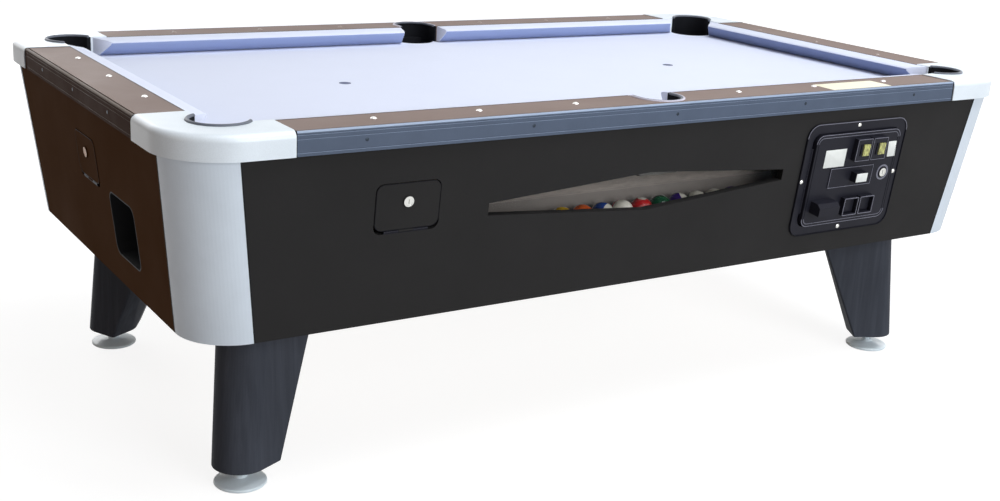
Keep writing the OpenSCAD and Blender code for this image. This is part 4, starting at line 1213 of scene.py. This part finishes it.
@dataclass
class Cushions:
    """Six cloth-covered cushions with crowned tops, sharp noses and turned facings.

    Attributes:
        nose_in: Distance of the nose from the table's edge.
        nose_h: Height of the nose above the bed.
        corner_nose: Distance of a nose end from the table's corner.
        corner_back: Distance of a back end from the table's corner.
        side_nose: Distance of a nose end from the middle of a side pocket.
        side_back: Distance of a back end from the middle of a side pocket.
        foot: Height of the section's foot above the bed.
        facing_r: Rounding of the edges at a facing.
        tilt: Downward slope from which a face gets the darker felt of painted shade.
        broad: Area in square millimetres from which it has it.
        gap: Clearance to the CAD solid's faces.
    """

    nose_in: float = 155.0
    nose_h: float = 37.0
    corner_nose: float = 243.0
    corner_back: float = 206.0
    side_nose: float = 71.0
    side_back: float = 62.0
    foot: float = 2.0
    facing_r: float = 2.2
    tilt: float = 0.12
    broad: float = 400.0
    gap: float = 0.3

    def build(self) -> None:
        """Make the six cushions."""
        for side in (Side.LEFT, Side.RIGHT):
            ends = (self.corner_nose - side.run, self.corner_back - side.run)
            name = f"cushion_{side.name.lower()}"
            self.cushion(name, side, ends, (-ends[0], -ends[1]), "end_cushions")
        for side in (Side.FRONT, Side.BACK):
            far = (side.run - self.corner_nose, side.run - self.corner_back)
            near = (self.side_nose, self.side_back)
            name = f"cushion_{side.name.lower()}"
            self.cushion(f"{name}_a", side, near, far, "side_cushions")
            start, end = (-far[0], -far[1]), (-near[0], -near[1])
            self.cushion(f"{name}_b", side, start, end, "side_cushions")

    def section(self) -> Section:
        """Find the section: flat back, crowned top, rounded nose and undercut face.

        Returns:
            Its corners, as inward distance and height.
        """
        foot, top, nose = BED + self.foot, RAIL_TOP - self.gap, BED + self.nose_h
        back, tip = RAIL_W + self.gap, self.nose_in - 0.4
        return [
            (back, foot), (back, top), (RAIL_W + 9, top - 0.75),
            ((RAIL_W + self.nose_in) / 2, RAIL_TOP - 3.05), (self.nose_in - 9, nose + 4.6),
            (self.nose_in - 2, nose + 2), (tip, nose + 0.9), (tip, nose - 1.4),
            (self.nose_in - 2.2, nose - 6), (RAIL_W + 14, foot),
        ]

    def cushion(
        self,
        name: str,
        side: Side,
        start: tuple[float, float],
        end: tuple[float, float],
        node: str,
    ) -> None:
        """Make one cushion.

        Args:
            name: Name of the piece.
            side: Side of the table.
            start: Nose end and back end at its left, along the edge.
            end: Nose end and back end at its right.
            node: CAD node that it replaces.
        """
        bm = bar(self.section(), min(start), max(end))
        depth = self.nose_in - RAIL_W
        for (nose, back), way in ((start, -1), (end, 1)):
            normal = Vector((depth, back - nose, 0)).normalized() * way
            cut = bmesh.ops.bisect_plane(
                bm, geom=[*bm.verts, *bm.edges, *bm.faces], dist=FINE / 10, plane_no=normal,
                plane_co=(nose - way * self.gap, self.nose_in, 0), clear_outer=True,
            )
            loop = [item for item in cut["geom_cut"] if isinstance(item, bmesh.types.BMEdge)]
            bmesh.ops.contextual_create(bm, geom=loop)
        rims = []
        for edge in bm.edges:
            one, two = (vert.co for vert in edge.verts)
            short = abs(one.x - two.x) < 60
            raised = max(one.z, two.z) > BED + 4 and min(one.y, two.y) > RAIL_W + 1
            if short and raised and len(edge.link_faces) == 2 and edge.calc_face_angle() > 0.9:
                rims.append(edge)
        soften(bm, rims, self.facing_r, 4)
        bmesh.ops.remove_doubles(bm, verts=bm.verts, dist=FINE)
        bmesh.ops.recalc_face_normals(bm, faces=bm.faces)
        # Broad faces that look downwards, under the nose, get a darker felt as painted shade
        for face in bm.faces:
            face.material_index = int(face.normal.z < -self.tilt and face.calc_area() > self.broad)
        settle(bm, side.edge())
        # The right cushion's under-nose faces get a still darker felt, more painted shade
        nose = RIGHT_FACE_PAINTED_SHADE if side is Side.RIGHT else UNDER_NOSE_PAINTED_SHADE
        obj = piece(name, bm, [BED_FELT, nose], nodes=[node], sharp=50)


@dataclass
class Rails:
    """Rail boards, ribbed trims, bolts, trim screws and a blank label.

    Attributes:
        trim_t: Thickness of a trim.
        lip: How far a trim reaches below the bed.
        ribs: Heights of the fine grooves above the bed.
        groove: Half width of a groove.
        groove_deep: Depth of a groove.
        screw_xs: Places of the trim screws along a long side.
        end_screw_xs: Places of the trim screws along an end.
        screw_z: Height of the trim screws.
        strip_w: Width of a cloth strip.
        strip_proud: How far a cloth strip stands above the rail.
        strip_deep: How far it reaches below the rail's top.
        strip_end: Distance of a cloth strip's end from the table's corner.
        strip_gap: Distance of a cloth strip's end from the middle of a side pocket.
        gasket: Width of the dark strip between a rail and a corner cap.
        gasket_skin: How far it reaches out of and into the trim's face.
        gasket_up: How far it stands above the rail.
        gasket_t: Its thickness on the rail's top.
        gasket_bend: Size of its inner bend and of its outer one.
        screw_head: Radius, rim height and dome of a trim screw's head.
        label: Width, height, corner radius, back, face and softened edge of the blank label.
        label_at: Place of its middle.
    """

    trim_t: float = 10.0
    lip: float = 4.0
    ribs: tuple[float, ...] = (3.0, 30.0, 38.5)
    groove: float = 0.9
    groove_deep: float = 0.7
    screw_xs: tuple[float, ...] = (-787.0, -393.0, 0.0, 401.0, 787.0)
    end_screw_xs: tuple[float, ...] = (-260.0, 0.0, 260.0)
    screw_z: float = 794.0
    strip_w: float = 2.4
    strip_proud: float = 0.5
    strip_deep: float = 1.0
    strip_end: float = 244.0
    strip_gap: float = 62.0
    gasket: float = 2.6
    gasket_skin: tuple[float, float] = (0.6, 0.3)
    gasket_up: float = 0.5
    gasket_t: float = 0.8
    gasket_bend: tuple[float, float] = (3.0, 3.5)
    screw_head: Triple = (4.0, 0.25, 0.5)
    label: tuple[float, ...] = (206, 74, 2, 0, 0.25, 0.1)
    label_at: tuple[float, float] = (606, -618)

    def build(self) -> None:
        """Make the trims and the small pieces, and dress the boards."""
        dress(["rail_front", "rail_back", "rail_left", "rail_right"], TAUPE)
        dress(["rail_bolts"], CAP_SCREW)
        for side in Side:
            self.trim(side)
            self.gaskets(side)
        self.strips()
        self.screws()
        blank = plate(*self.label)
        settle(blank, Matrix.Translation((*self.label_at, RAIL_TOP)))
        piece("rail_label", blank, [CREAM])

    def section(self) -> Section:
        """Find the trim's section, with a rounded top and grooves in its outer face.

        Returns:
            Its corners, as inward distance and height.
        """
        face, round_r, arc = CAP_PROUD, self.trim_t / 2, 12
        middle, spring = face + round_r, RAIL_TOP - round_r
        points = [(face + self.trim_t, BED - self.lip), (face + self.trim_t, spring)]
        for step in range(1, arc):
            angle = math.pi * step / arc
            points.append((middle + round_r * math.cos(angle), spring + round_r * math.sin(angle)))
        points.append((face, spring))
        floor, slope = face + self.groove_deep, self.groove * 0.4
        for rib in sorted(self.ribs, reverse=True):
            z = BED + rib
            points += [(face, z + self.groove), (floor, z + slope)]
            points += [(floor, z - slope), (face, z - self.groove)]
        return points + [(face, BED - self.lip)]

    def trim(self, side: Side) -> None:
        """Make one ribbed trim.

        Args:
            side: Side of the table.
        """
        ends = side.run - CAP_ARM - RAIL_JOINT
        bm = bar(self.section(), -ends, ends)
        settle(bm, side.edge())
        # Upward faces take a lighter colour as a painted highlight
        for face in bm.faces:
            face.material_index = int(face.normal.z > 0.2)
        # End trims take copies of the grey moulding with painted shade and warm reflection
        finishes = [RIB, RIB_TOP_HIGHLIGHT] if side.long else [WARM_SHADED_RIB, WARM_RIB_TOP_HIGHLIGHT]
        name = f"trim_{side.name.lower()}"
        piece(name, bm, finishes, nodes=["rail_trims"], sharp=28)

    def gaskets(self, side: Side) -> None:
        """Fill the joints between a rail and its two corner caps with dark strips.

        Args:
            side: Side of the table.
        """
        ends = side.run - CAP_ARM
        out, into = self.gasket_skin
        small, big = self.gasket_bend
        outer, inner = CAP_PROUD - out, CAP_PROUD + into
        top, low = RAIL_TOP + self.gasket_up, BED - self.lip
        under = top - self.gasket_t
        section = [
            (outer, low), (inner, low), (inner, top - small), (inner + small, under),
            (RAIL_W, under), (RAIL_W, top), (outer + big, top), (outer, top - big),
        ]
        spans = ((ends - self.gasket, ends), (-ends, self.gasket - ends))
        bm = join([bar(section, start, stop) for start, stop in spans])
        settle(bm, side.edge())
        piece(f"cap_gaskets_{side.name.lower()}", bm, [INNER_BLACK])

    def strips(self) -> None:
        """Lay the thin dark strips that hold the cushions' cloth along the rails' inner edges."""
        inner, top = RAIL_W + self.strip_w / 2, RAIL_TOP + self.strip_proud
        outer, low = inner - self.strip_w, RAIL_TOP - self.strip_deep
        section = [(outer, low), (outer, top), (inner, top), (inner, low)]
        for side in Side:
            end = side.run - self.strip_end
            spans = [(-end, end)]
            if side.long:
                spans = [(-end, -self.strip_gap), (self.strip_gap, end)]
            bm = join([bar(section, start, stop) for start, stop in spans])
            settle(bm, side.edge())
            piece(f"cloth_strip_{side.name.lower()}", bm, [STRIP])

    def screws(self) -> None:
        """Set small dark screw heads into the trims."""
        for side in Side:
            parts = []
            for x in self.screw_xs if side.long else self.end_screw_xs:
                head = disc(*self.screw_head, steps=20)
                place = side.edge() @ Matrix.Translation((x, CAP_PROUD, self.screw_z))
                settle(head, place @ Matrix.Rotation(math.pi / 2, 4, "X"))
                parts.append(head)
            piece(f"trim_screws_{side.name.lower()}", join(parts), [SCREW_BLACK])


@dataclass
class Pockets:
    """Corner caps, liners, and the rubber lips on the liners' upper rims.

    Attributes:
        lip_r: Radius of a lip's section.
        lip_rise: Height of a lip's centre above the cap.
        wall: Thickness of a corner liner's wall.
        side_wall: Thickness of a side liner's lip.
        side_lip_r: Radius of a side lip's section.
        side_straight: Length of a side lip's straight ends.
        bead_in: How far the inner bead stands inside the middle of the side liner's wall.
        ring_out: How far the outer ring, a painted highlight, stands outside it.
    """

    lip_r: float = 4.2
    lip_rise: float = 0.2
    wall: float = 8.0
    side_wall: float = 5.0
    side_lip_r: float = 3.2
    side_straight: float = 27.0
    bead_in: float = 2.5
    ring_out: float = 1.5

    def build(self) -> None:
        """Dress the caps and liners, and make the lips."""
        dress([f"corner_cap_{name}" for name in CORNER_NAMES], CAP)
        dress(["corner_pocket_liners", "side_pocket_liners"], LINER)
        for corner in Corner:
            self.corner_lip(corner)
        for side in (Side.FRONT, Side.BACK):
            self.side_lip(side)

    def tube(
        self, radius: float, thick: float, start: float, sweep: float, straight: float = 0.0
    ) -> bmesh.types.BMesh:
        """Spin a round section about the Z axis, lengthen it and round its ends.

        Args:
            radius: Distance of the section from the axis.
            thick: Radius of the section.
            start: Angle of the start in degrees.
            sweep: Angle covered in degrees.
            straight: Length of the straight stretch at each end.

        Returns:
            The tube around the origin.
        """
        bm = bmesh.new()
        bmesh.ops.create_circle(bm, cap_ends=True, segments=12, radius=thick)
        place = Matrix.Rotation(math.radians(start), 4, "Z") @ Matrix.Translation((radius, 0, 0))
        bmesh.ops.transform(bm, matrix=place @ Matrix.Rotation(math.pi / 2, 4, "X"), verts=bm.verts)
        bmesh.ops.spin(
            bm, geom=[*bm.verts, *bm.edges, *bm.faces], cent=(0, 0, 0), axis=(0, 0, 1),
            angle=math.radians(sweep), steps=40,
        )
        bmesh.ops.remove_doubles(bm, verts=bm.verts, dist=FINE)
        bmesh.ops.recalc_face_normals(bm, faces=bm.faces)
        ends = [f for f in bm.faces if len(f.verts) > 4]
        if straight > 0:
            for end in ends:
                way = end.normal * straight
                grown = bmesh.ops.extrude_face_region(bm, geom=[end])
                moved = [item for item in grown["geom"] if isinstance(item, bmesh.types.BMVert)]
                bmesh.ops.translate(bm, vec=way, verts=moved)
                bmesh.ops.delete(bm, geom=[end], context="FACES_ONLY")
            ends = [f for f in bm.faces if len(f.verts) > 4]
        soften(bm, {e for f in ends for e in f.edges}, thick * 0.7, 3)
        return bm

    def corner_lip(self, corner: Corner) -> None:
        """Make the lip of one corner pocket, which is open towards the bed.

        Args:
            corner: Corner of the table.
        """
        radius = POCKET_R - self.wall / 2
        reach = math.degrees(math.asin((POCKET_IN - RAIL_W) / radius))
        bm = self.tube(radius, self.lip_r, 90 + reach, 270 - 2 * reach)
        place = Matrix.Translation((POCKET_IN, POCKET_IN, CAP_TOP + self.lip_rise))
        settle(bm, corner.frame() @ place)
        piece(f"pocket_lip_{corner.name.lower()}", bm, [LIP], sharp=60)

    def side_lip(self, side: Side) -> None:
        """Make the lip of one side pocket, with a dark inner bead and a pale outer one that is a
        painted highlight.

        Args:
            side: Side of the table.
        """
        middle = SIDE_R - self.side_wall / 2
        # The outer bead is a painted highlight
        beads = (("lip", LIP, middle - self.bead_in), ("ring", LIP_HIGHLIGHT, middle + self.ring_out))
        for name, finish, radius in beads:
            bm = self.tube(radius, self.side_lip_r, 180, 180, self.side_straight)
            settle(bm, side.edge() @ Matrix.Translation((0, SIDE_IN, RAIL_TOP)))
            piece(f"side_pocket_{name}_{side.name.lower()}", bm, [finish], sharp=60)


@dataclass
class BallWindow:
    """Pane, rack and sill of the ball window.

    Attributes:
        corners: Corners of the opening on the front face, as distance along it and height.
        lip: Width of the lining around the opening.
        deep: How far the lining reaches inwards.
        parting: Height that parts the sill, whose front edge carries a pale blue painted highlight,
            from the head.
    """

    corners: tuple[tuple[float, float], ...] = (
        (-478.0, 597.0), (-42.0, 563.0), (380.0, 597.0),
        (380.0, 625.0), (-42.0, 656.0), (-478.0, 625.0),
    )
    lip: float = 2.0
    deep: float = 18.6
    parting: float = 610.0

    def build(self) -> None:
        """Make the lining and dress the rack and the pane."""
        dress(["window_pane"], PANE)
        dress(["ball_rack"], RACK)
        bm = bmesh.new()
        face = bm.faces.new([bm.verts.new((x, up(z), 0)) for x, z in self.corners])
        rim_of(bm, face, self.lip)
        pull(bm, list(bm.faces), (0, 0, -self.deep))
        middle = up(self.parting)
        # Front faces of the lining below the parting take the sill's painted highlight
        for face in bm.faces:
            centre = face.calc_center_median()
            face.material_index = int(centre.z > -0.1 and centre.y < middle)
        settle(bm, Side.FRONT.face())
        piece("window_lining", bm, [INNER_BLACK, SILL_HIGHLIGHT])


class Pattern(Enum):
    """How a ball is coloured, as the half width of its coloured band."""

    FULL = 1.0
    STRIPE = 0.5


@dataclass
class BallSet:
    """Fifteen coloured balls and the cue ball, each a piece of its own.

    Attributes:
        pitch: Distance between balls that touch.
        first: Place of the rightmost ball in the window.
        far_left: Place of the ball that stands alone at the row's left.
        tray_z: Height of the lowest points of the balls on the tray.
        tray_x: Place of the two coloured balls on the tray.
        tray_y: Distance of those two from the long axis.
        cue_at: Place of the cue ball.
        colours: Colours by name.
    """

    pitch: float = 57.3
    first: float = 220.0
    far_left: float = -357.0
    tray_z: float = 590.3
    tray_x: float = 47.5
    tray_y: float = 75.0
    cue_at: tuple[float, float] = (-37.85, -40.0)
    colours: dict[str, Colour] = field(default_factory=lambda: {
        "yellow": tone(226, 182, 42), "blue": tone(36, 70, 150), "red": tone(200, 30, 34),
        "purple": tone(66, 34, 128), "orange": tone(238, 104, 44), "green": tone(16, 92, 58),
        "maroon": tone(112, 24, 34), "black": tone(18, 18, 20), IVORY: BallResin.ivory,
    })

    def build(self) -> None:
        """Make the sixteen balls."""
        low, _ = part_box("ball_set")
        row_y, rack_z = low.y / MM + BALL_D / 2, low.z / MM
        LOG.info("ball row at y %.2f, z %.2f", row_y, rack_z)
        full, stripe = Pattern.FULL, Pattern.STRIPE
        row = [
            ("ball_15", "maroon", stripe, (-0.18, -0.19, 0.95)),
            ("ball_14", "green", stripe, (-0.02, -0.46, 0.83)),
            ("ball_12", "purple", stripe, (0.68, -0.40, 0.51)),
            ("ball_06", "green", full, HIDDEN_LOOK),
            ("ball_03", "red", full, (0.0, -0.02, 1.0)),
            ("ball_11", "red", stripe, (-0.34, -0.72, 0.52)),
            ("ball_10", "blue", stripe, (0.37, -0.81, 0.13)),
            ("ball_05", "orange", full, HIDDEN_LOOK),
            ("ball_09", "yellow", stripe, (0.66, -0.69, -0.04)),
        ]
        for index, (name, colour, pattern, look) in enumerate(row):
            place = (self.first - index * self.pitch, row_y, rack_z)
            self.ball(name, colour, pattern, look, place)
        hidden = [
            ("ball_04", "purple", full), ("ball_01", "yellow", full), ("ball_13", "orange", stripe)
        ]
        for index, (name, colour, pattern) in enumerate(hidden, start=1):
            place = (self.first + index * self.pitch, row_y, rack_z)
            self.ball(name, colour, pattern, HIDDEN_LOOK, place)
        self.ball("ball_02", "blue", full, HIDDEN_LOOK, (self.far_left, row_y, rack_z))
        near, far = ((self.tray_x, way * self.tray_y, self.tray_z) for way in (-1, 1))
        self.ball("ball_07", "maroon", full, (0.3, -0.5, 0.8), near)
        self.ball("ball_08", "black", full, (-0.4, 0.2, 0.9), far)
        self.ball("cue_ball", IVORY, full, HIDDEN_LOOK, (*self.cue_at, self.tray_z))

    def ball(self, name: str, colour: str, pattern: Pattern, look: Triple, place: Triple) -> None:
        """Make one ball.

        Args:
            name: Name of the piece.
            colour: Name of its colour.
            pattern: Plain or striped.
            look: Direction of the white pole of a striped ball, or of a spot of a plain one.
            place: Lowest point of the ball.
        """
        bm = bmesh.new()
        bmesh.ops.create_uvsphere(bm, u_segments=48, v_segments=24, radius=BALL_D / 2)
        centre = Vector(place) + Vector((0, 0, BALL_D / 2))
        settle(bm, Matrix.Translation(centre))
        first, second = Vector(look).normalized(), BEHIND.normalized()
        across = first.cross(second).normalized()
        second = across.cross(first)
        rows = (second, -across, first) if pattern is Pattern.STRIPE else (first, across, second)
        turn = tuple(math.degrees(angle) for angle in Matrix(rows).to_euler())
        finish = BallResin(
            f"resin_{name}", self.colours[colour], 0.12, centre=tuple(centre * MM), turn=turn,
            stripe=pattern.value, spots=colour != IVORY,
        )
        piece(name, bm, [finish], nodes=["ball_set"], sharp=180)


@dataclass
class BallReturn:
    """Runs, gate and cue ball cup."""

    def build(self) -> None:
        """Dress the ball return's nodes."""
        dress(["ball_runs"], RUN)
        dress(["ball_gate", "hinge_pins"], NICKEL)
        dress(["cue_ball_cup"], INNER_BLACK)


@dataclass(frozen=True)
class FaceRing:
    """Edge line around fittings on the coin door.

    Attributes:
        size: Outer width, outer height and outer radius of its corners, and its band.
        depths: Depths of its back and its face.
        places: Places of the fittings from the middle of the door.
    """

    size: tuple[float, float, float, float]
    depths: tuple[float, float]
    places: tuple[tuple[float, float], ...]

    def cut(self) -> list[bmesh.types.BMesh]:
        """Make the line once for each place.

        Returns:
            The lines at their places.
        """
        lines = [ring(*self.size, *self.depths) for _ in self.places]
        for line, (x, z) in zip(lines, self.places):
            settle(line, on_face(Side.FRONT, DOOR_X + x, DOOR_Z + z))
        return lines


@dataclass(frozen=True)
class HighlightLine:
    """Edge line around the coin door or its frame, with a painted highlight along its top.

    Attributes:
        size: Outer width, outer height and outer radius of its corners, and its band.
        depths: Depths of its back and its face.
        low_too: Whether its lower stretch has the painted highlight as well.
    """

    size: tuple[float, float, float, float]
    depths: tuple[float, float]
    low_too: bool = True

    def cut(self) -> bmesh.types.BMesh:
        """Make the line, with material 1 where it has the painted highlight.

        Returns:
            The line, centred in the XY plane.
        """
        _, h, r, _ = self.size
        bm = ring(*self.size, *self.depths)
        for face in bm.faces:
            y = face.calc_center_median().y
            face.material_index = int(y > h / 2 - r or (self.low_too and y < r - h / 2))
        return bm


@dataclass(frozen=True)
class Label:
    """Blank label on the coin door.

    Attributes:
        w: Width.
        h: Height.
        x: Place of its middle along the face.
        z: Height of its middle.
        back: Depth of its back.
        lean: Sideways shift for each millimetre up.
        thick: Thickness.
    """

    w: float
    h: float
    x: float
    z: float
    back: float = 11.0
    lean: float = 0.0
    thick: float = 0.5

    def cut(self) -> bmesh.types.BMesh:
        """Make the label.

        Returns:
            The label at its place.
        """
        bm = plate(self.w, self.h, 1, self.back, self.back + self.thick, 0.2)
        for vert in bm.verts:
            vert.co.x -= vert.co.y * self.lean
        settle(bm, on_face(Side.FRONT, self.x, self.z))
        return bm


@dataclass
class CoinDoor:
    """Coin door with its frame, fittings, blank labels and edge lines with painted highlights.

    Attributes:
        frame_line: Edge line of the frame.
        frame_left: How far the frame's middle stands left of the door's.
        door_lines: Edge lines of the door.
        labels: The two blank labels.
        name_plate: The blank name plate.
        lock_at: Place of the lock from the middle of the door.
        lock_depths: Depths of the back and the face of the lock's ring.
        rings: Edge lines of the lock's plate, the buttons' plates, the wide plate and the cups.
        body: CAD body that the door's pieces ride on.
    """

    frame_line: HighlightLine = HighlightLine((355.4, 300.4, 35.2, 1.8), (4.6, 5.3), low_too=False)
    frame_left: float = 1.0
    door_lines: tuple[HighlightLine, ...] = (
        HighlightLine((300.3, 245.3, 22.15, 1.6), (10.4, 11.3)),
        HighlightLine((286, 231, 15, 1.3), (10.9, 11.5)),
    )
    labels: tuple[Label, Label] = (Label(73, 47, 543, 643), Label(29, 42, 747, 653, lean=0.1))
    name_plate: Label = Label(39, 23, DOOR_X + 14.5, DOOR_Z + 5.5, back=32.5)
    lock_at: tuple[float, float] = (112, 5)
    lock_depths: tuple[float, float] = (12.9, 14.2)
    rings: tuple[FaceRing, ...] = (
        FaceRing((42, 42, 20.9, 4.5), (10.9, 12.0), ((112, 5),)),
        FaceRing((51.4, 58.4, 1.5, 1.3), (25.4, 26.5), ((8, 78), (64.5, 78))),
        FaceRing((153.6, 52.6, 1.5, 1.2), (12.4, 13.5), ((-5, 4),)),
        FaceRing((50.6, 47.6, 2.5, 1.7), (25.2, 26.6), ((4, -75), (61, -75))),
    )
    body: str = "coin_door"

    def build(self) -> None:
        """Dress the door's nodes and make its small pieces."""
        dress(["coin_door", "coin_door_frame", "hinge_leaves"], BLACK_STEEL)
        dress(["return_flap_left", "return_flap_right"], BLACK_STEEL)
        dress(["reject_button_left", "reject_button_right"], AMBER)
        dress(["coin_mechs"], MECH)
        dress(["coin_door_lock", "coin_door_bolts"], NICKEL)
        dress(["cash_box"], ZINC)
        self.edges()
        blanks = join([label.cut() for label in self.labels])
        piece("blank_cards", blanks, [CARD], self.body)
        piece("blank_name_plate", self.name_plate.cut(), [CARD], self.body)
        lock = FaceRing(LOCK_RING, self.lock_depths, (self.lock_at,))
        piece("lock_ring", join(lock.cut()), [NICKEL], self.body)
        # Lines around the fittings are a painted highlight
        fittings = join([line for kind in self.rings for line in kind.cut()])
        piece("fitting_edge_highlights", fittings, [EDGE_HIGHLIGHT], self.body)

    def edges(self) -> None:
        """Add the dark edge lines of the frame and the door, with painted highlights on their upper
        stretches and on the door's lower ones.
        """
        finishes = [EDGE_DARK, EDGE_HIGHLIGHT]
        around = self.frame_line.cut()
        settle(around, on_face(Side.FRONT, DOOR_X - self.frame_left, DOOR_Z))
        piece("frame_edge", around, finishes)
        lines = join([line.cut() for line in self.door_lines])
        settle(lines, on_face(Side.FRONT, DOOR_X, DOOR_Z))
        piece("door_edges", lines, finishes, self.body)


@dataclass
class AccessDoors:
    """The two access doors with their locks and worn edges.

    Attributes:
        line: Outer width, height and corner radius of a door's edge line, and its band.
        line_depths: Depths of the back and the face of that line.
        ring_depths: Depths of the back and the face of a lock's ring.
        lock_up: How far a lock stands above the middle of its door, along the face.
    """

    line: tuple[float, float, float, float] = (149.6, 101.6, 17.8, 1.0)
    line_depths: tuple[float, float] = (0.5, 1.2)
    ring_depths: tuple[float, float] = (3.0, 3.9)
    lock_up: float = 10.0

    def build(self) -> None:
        """Dress the doors and add their edge lines and lock rings."""
        dress(["front_door_lock"], NICKEL)
        # The end door's lock and lock ring get warm-tinted nickel, and the door the brown laminate,
        # as painted warm reflection
        dress(["end_door_lock"], NICKEL_WARM_REFLECTION)
        doors = (
            (Side.FRONT, ACCESS_X, "front_access_door", CHARCOAL, NICKEL),
            (Side.LEFT, 0.0, "end_access_door", WARM_LIT_LAMINATE, NICKEL_WARM_REFLECTION),
        )
        for _, _, body, finish, _ in doors:
            dress([body], finish)
        for side, x, body, _, shine in doors:
            line = ring(*self.line, *self.line_depths)
            settle(line, on_face(side, x, ACCESS_Z))
            piece(f"{body}_edge", line, [EDGE_DARK], body)
            rim = ring(*LOCK_RING, *self.ring_depths)
            settle(rim, side.face() @ Matrix.Translation((x, up(ACCESS_Z) + self.lock_up, 0)))
            piece(f"{body}_lock_ring", rim, [shine], body)


@dataclass(frozen=True)
class Lamp:
    """Soft square lamp.

    Attributes:
        name: Name of the lamp.
        place: Where it stands, in metres.
        aim: Point that it faces, in metres.
        size: Side of the square in metres.
        power: Its power in watts.
        colour: Colour of its light.
    """

    name: str
    place: Triple
    aim: Triple
    size: float
    power: float
    colour: Triple = WHITE

    def build(self) -> None:
        """Add the lamp to the scene."""
        data = bpy.data.lights.new(self.name, "AREA")
        data.energy = self.power
        data.color = self.colour
        data.size = self.size
        obj = bpy.data.objects.new(self.name, data)
        turn = (Vector(self.aim) - Vector(self.place)).to_track_quat("-Z", "Y").to_matrix()
        obj.matrix_world = Matrix.Translation(self.place) @ turn.to_4x4()
        bpy.context.scene.collection.objects.link(obj)


@dataclass
class Studio:
    """Pale floor, soft lamps, plain world and the camera of the photograph.

    Attributes:
        eye: Place of the camera in millimetres.
        yaw: Heading of the camera in radians.
        pitch: Its pitch in radians.
        roll: Its roll in radians.
        focal: Focal length in pixels of a picture 1000 wide.
        ambient: Strength of the world's light.
        floor_tone: Share of light that the floor sends back.
        floor_glow: Light that the floor adds near the table for the camera and for reflections.
        near: Distance in metres up to which the floor adds only that.
        far: Distance in metres from which it is plain white.
        lamps: The lamps.
    """

    eye: Triple = (-1950.653, -2945.534, 1368.013)
    yaw: float = 0.578
    pitch: float = -0.300
    roll: float = 0.053
    focal: float = 1325.725
    ambient: float = 0.12
    floor_tone: float = 0.3
    floor_glow: float = 0.86
    near: float = 1.6
    far: float = 5.0
    lamps: tuple[Lamp, ...] = (
        Lamp("key", (0.9, -1.3, 4.6), (0.0, 0.0, 0.7), 3.4, 168, COOL),
        Lamp("front_fill", (0.9, -5.8, 2.0), (-0.2, 0.0, 0.5), 3.4, 210, COOL),
        Lamp("back_fill", (-1.0, 5.5, 2.4), (0.0, 0.0, 0.5), 3.4, 90),
        Lamp("right_fill", (6.0, 1.0, 2.4), (0.0, 0.0, 0.5), 3.0, 70),
        Lamp("warm_side", (-5.5, -1.0, 1.6), (-1.0, 0.0, 0.6), 2.5, 14, WARM),
    )

    def build(self) -> None:
        """Make the camera, the floor, the lamps and the world."""
        self.camera()
        self.floor()
        for lamp in self.lamps:
            lamp.build()
        self.world()

    def camera(self) -> None:
        """Place the camera where the photograph was taken from."""
        cos_p = math.cos(self.pitch)
        sin_y, cos_y = math.sin(self.yaw), math.cos(self.yaw)
        ahead = Vector((sin_y * cos_p, cos_y * cos_p, math.sin(self.pitch)))
        right = Vector((cos_y, -sin_y, 0))
        above = right.cross(ahead)
        cos_r, sin_r = math.cos(self.roll), math.sin(self.roll)
        across, top = right * cos_r + above * sin_r, above * cos_r - right * sin_r
        data = bpy.data.cameras.new("camera")
        data.sensor_width = 36.0
        data.lens = self.focal * data.sensor_width / 1000
        data.clip_end = 200
        obj = bpy.data.objects.new("camera", data)
        turn = Matrix((across, top, -ahead)).transposed().to_4x4()
        obj.matrix_world = Matrix.Translation(Vector(self.eye) * MM) @ turn
        bpy.context.scene.collection.objects.link(obj)
        bpy.context.scene.camera = obj

    def floor(self) -> None:
        """Lay a pale floor that shows the table's shadow and is otherwise white to the camera."""
        graph = ShaderGraph("studio_floor")
        graph.look(Base_Color=(self.floor_tone,) * 3 + (1,), Roughness=0.9, Specular_IOR_Level=0.1)
        length = graph.add("ShaderNodeVectorMath", operation="LENGTH")
        graph.feed(length.inputs[0], graph.place)
        away = length.outputs["Value"]
        reach = graph.levels(away, self.near, self.far, self.floor_glow, 1.0)
        glow = graph.add("ShaderNodeEmission")
        graph.feed(glow.inputs["Strength"], graph.sums("MULTIPLY", reach, graph.seen()))
        both = graph.add("ShaderNodeAddShader")
        graph.feed(both.inputs[0], graph.shader.outputs[0])
        graph.feed(both.inputs[1], glow.outputs[0])
        graph.feed(graph.tree.nodes["Material Output"].inputs["Surface"], both.outputs[0])
        bm = bmesh.new()
        bmesh.ops.create_grid(bm, x_segments=8, y_segments=8, size=40)
        mesh = bpy.data.meshes.new("floor")
        bm.to_mesh(mesh)
        bm.free()
        mesh.materials.append(graph.material)
        obj = bpy.data.objects.new("floor", mesh)
        bpy.context.scene.collection.objects.link(obj)

    def world(self) -> None:
        """Light the scene softly, and show plain white to the camera and in reflections."""
        world = bpy.data.worlds.new("studio")
        bpy.context.scene.world = world
        world.use_nodes = True
        graph = NodeGraph(world.node_tree)
        back = graph.tree.nodes["Background"].inputs
        graph.feed(back["Color"], (1, 1, 1, 1))
        graph.feed(back["Strength"], graph.levels(graph.seen(), 0, 1, self.ambient, 1))


def main() -> None:
    """Build the studio and every sub-assembly in order."""
    logging.basicConfig(level=logging.INFO, format="%(name)s: %(message)s")
    bpy.context.scene.view_settings.view_transform = "Standard"
    builders: list[Callable[[], None]] = [
        Studio().build, Cabinet().build, Legs().build, Bed().build, Cushions().build, Rails().build,
        Pockets().build, BallWindow().build, BallSet().build, BallReturn().build, CoinDoor().build,
        AccessDoors().build,
    ]
    for build in builders:
        build()


if __name__ == "__main__":
    main()
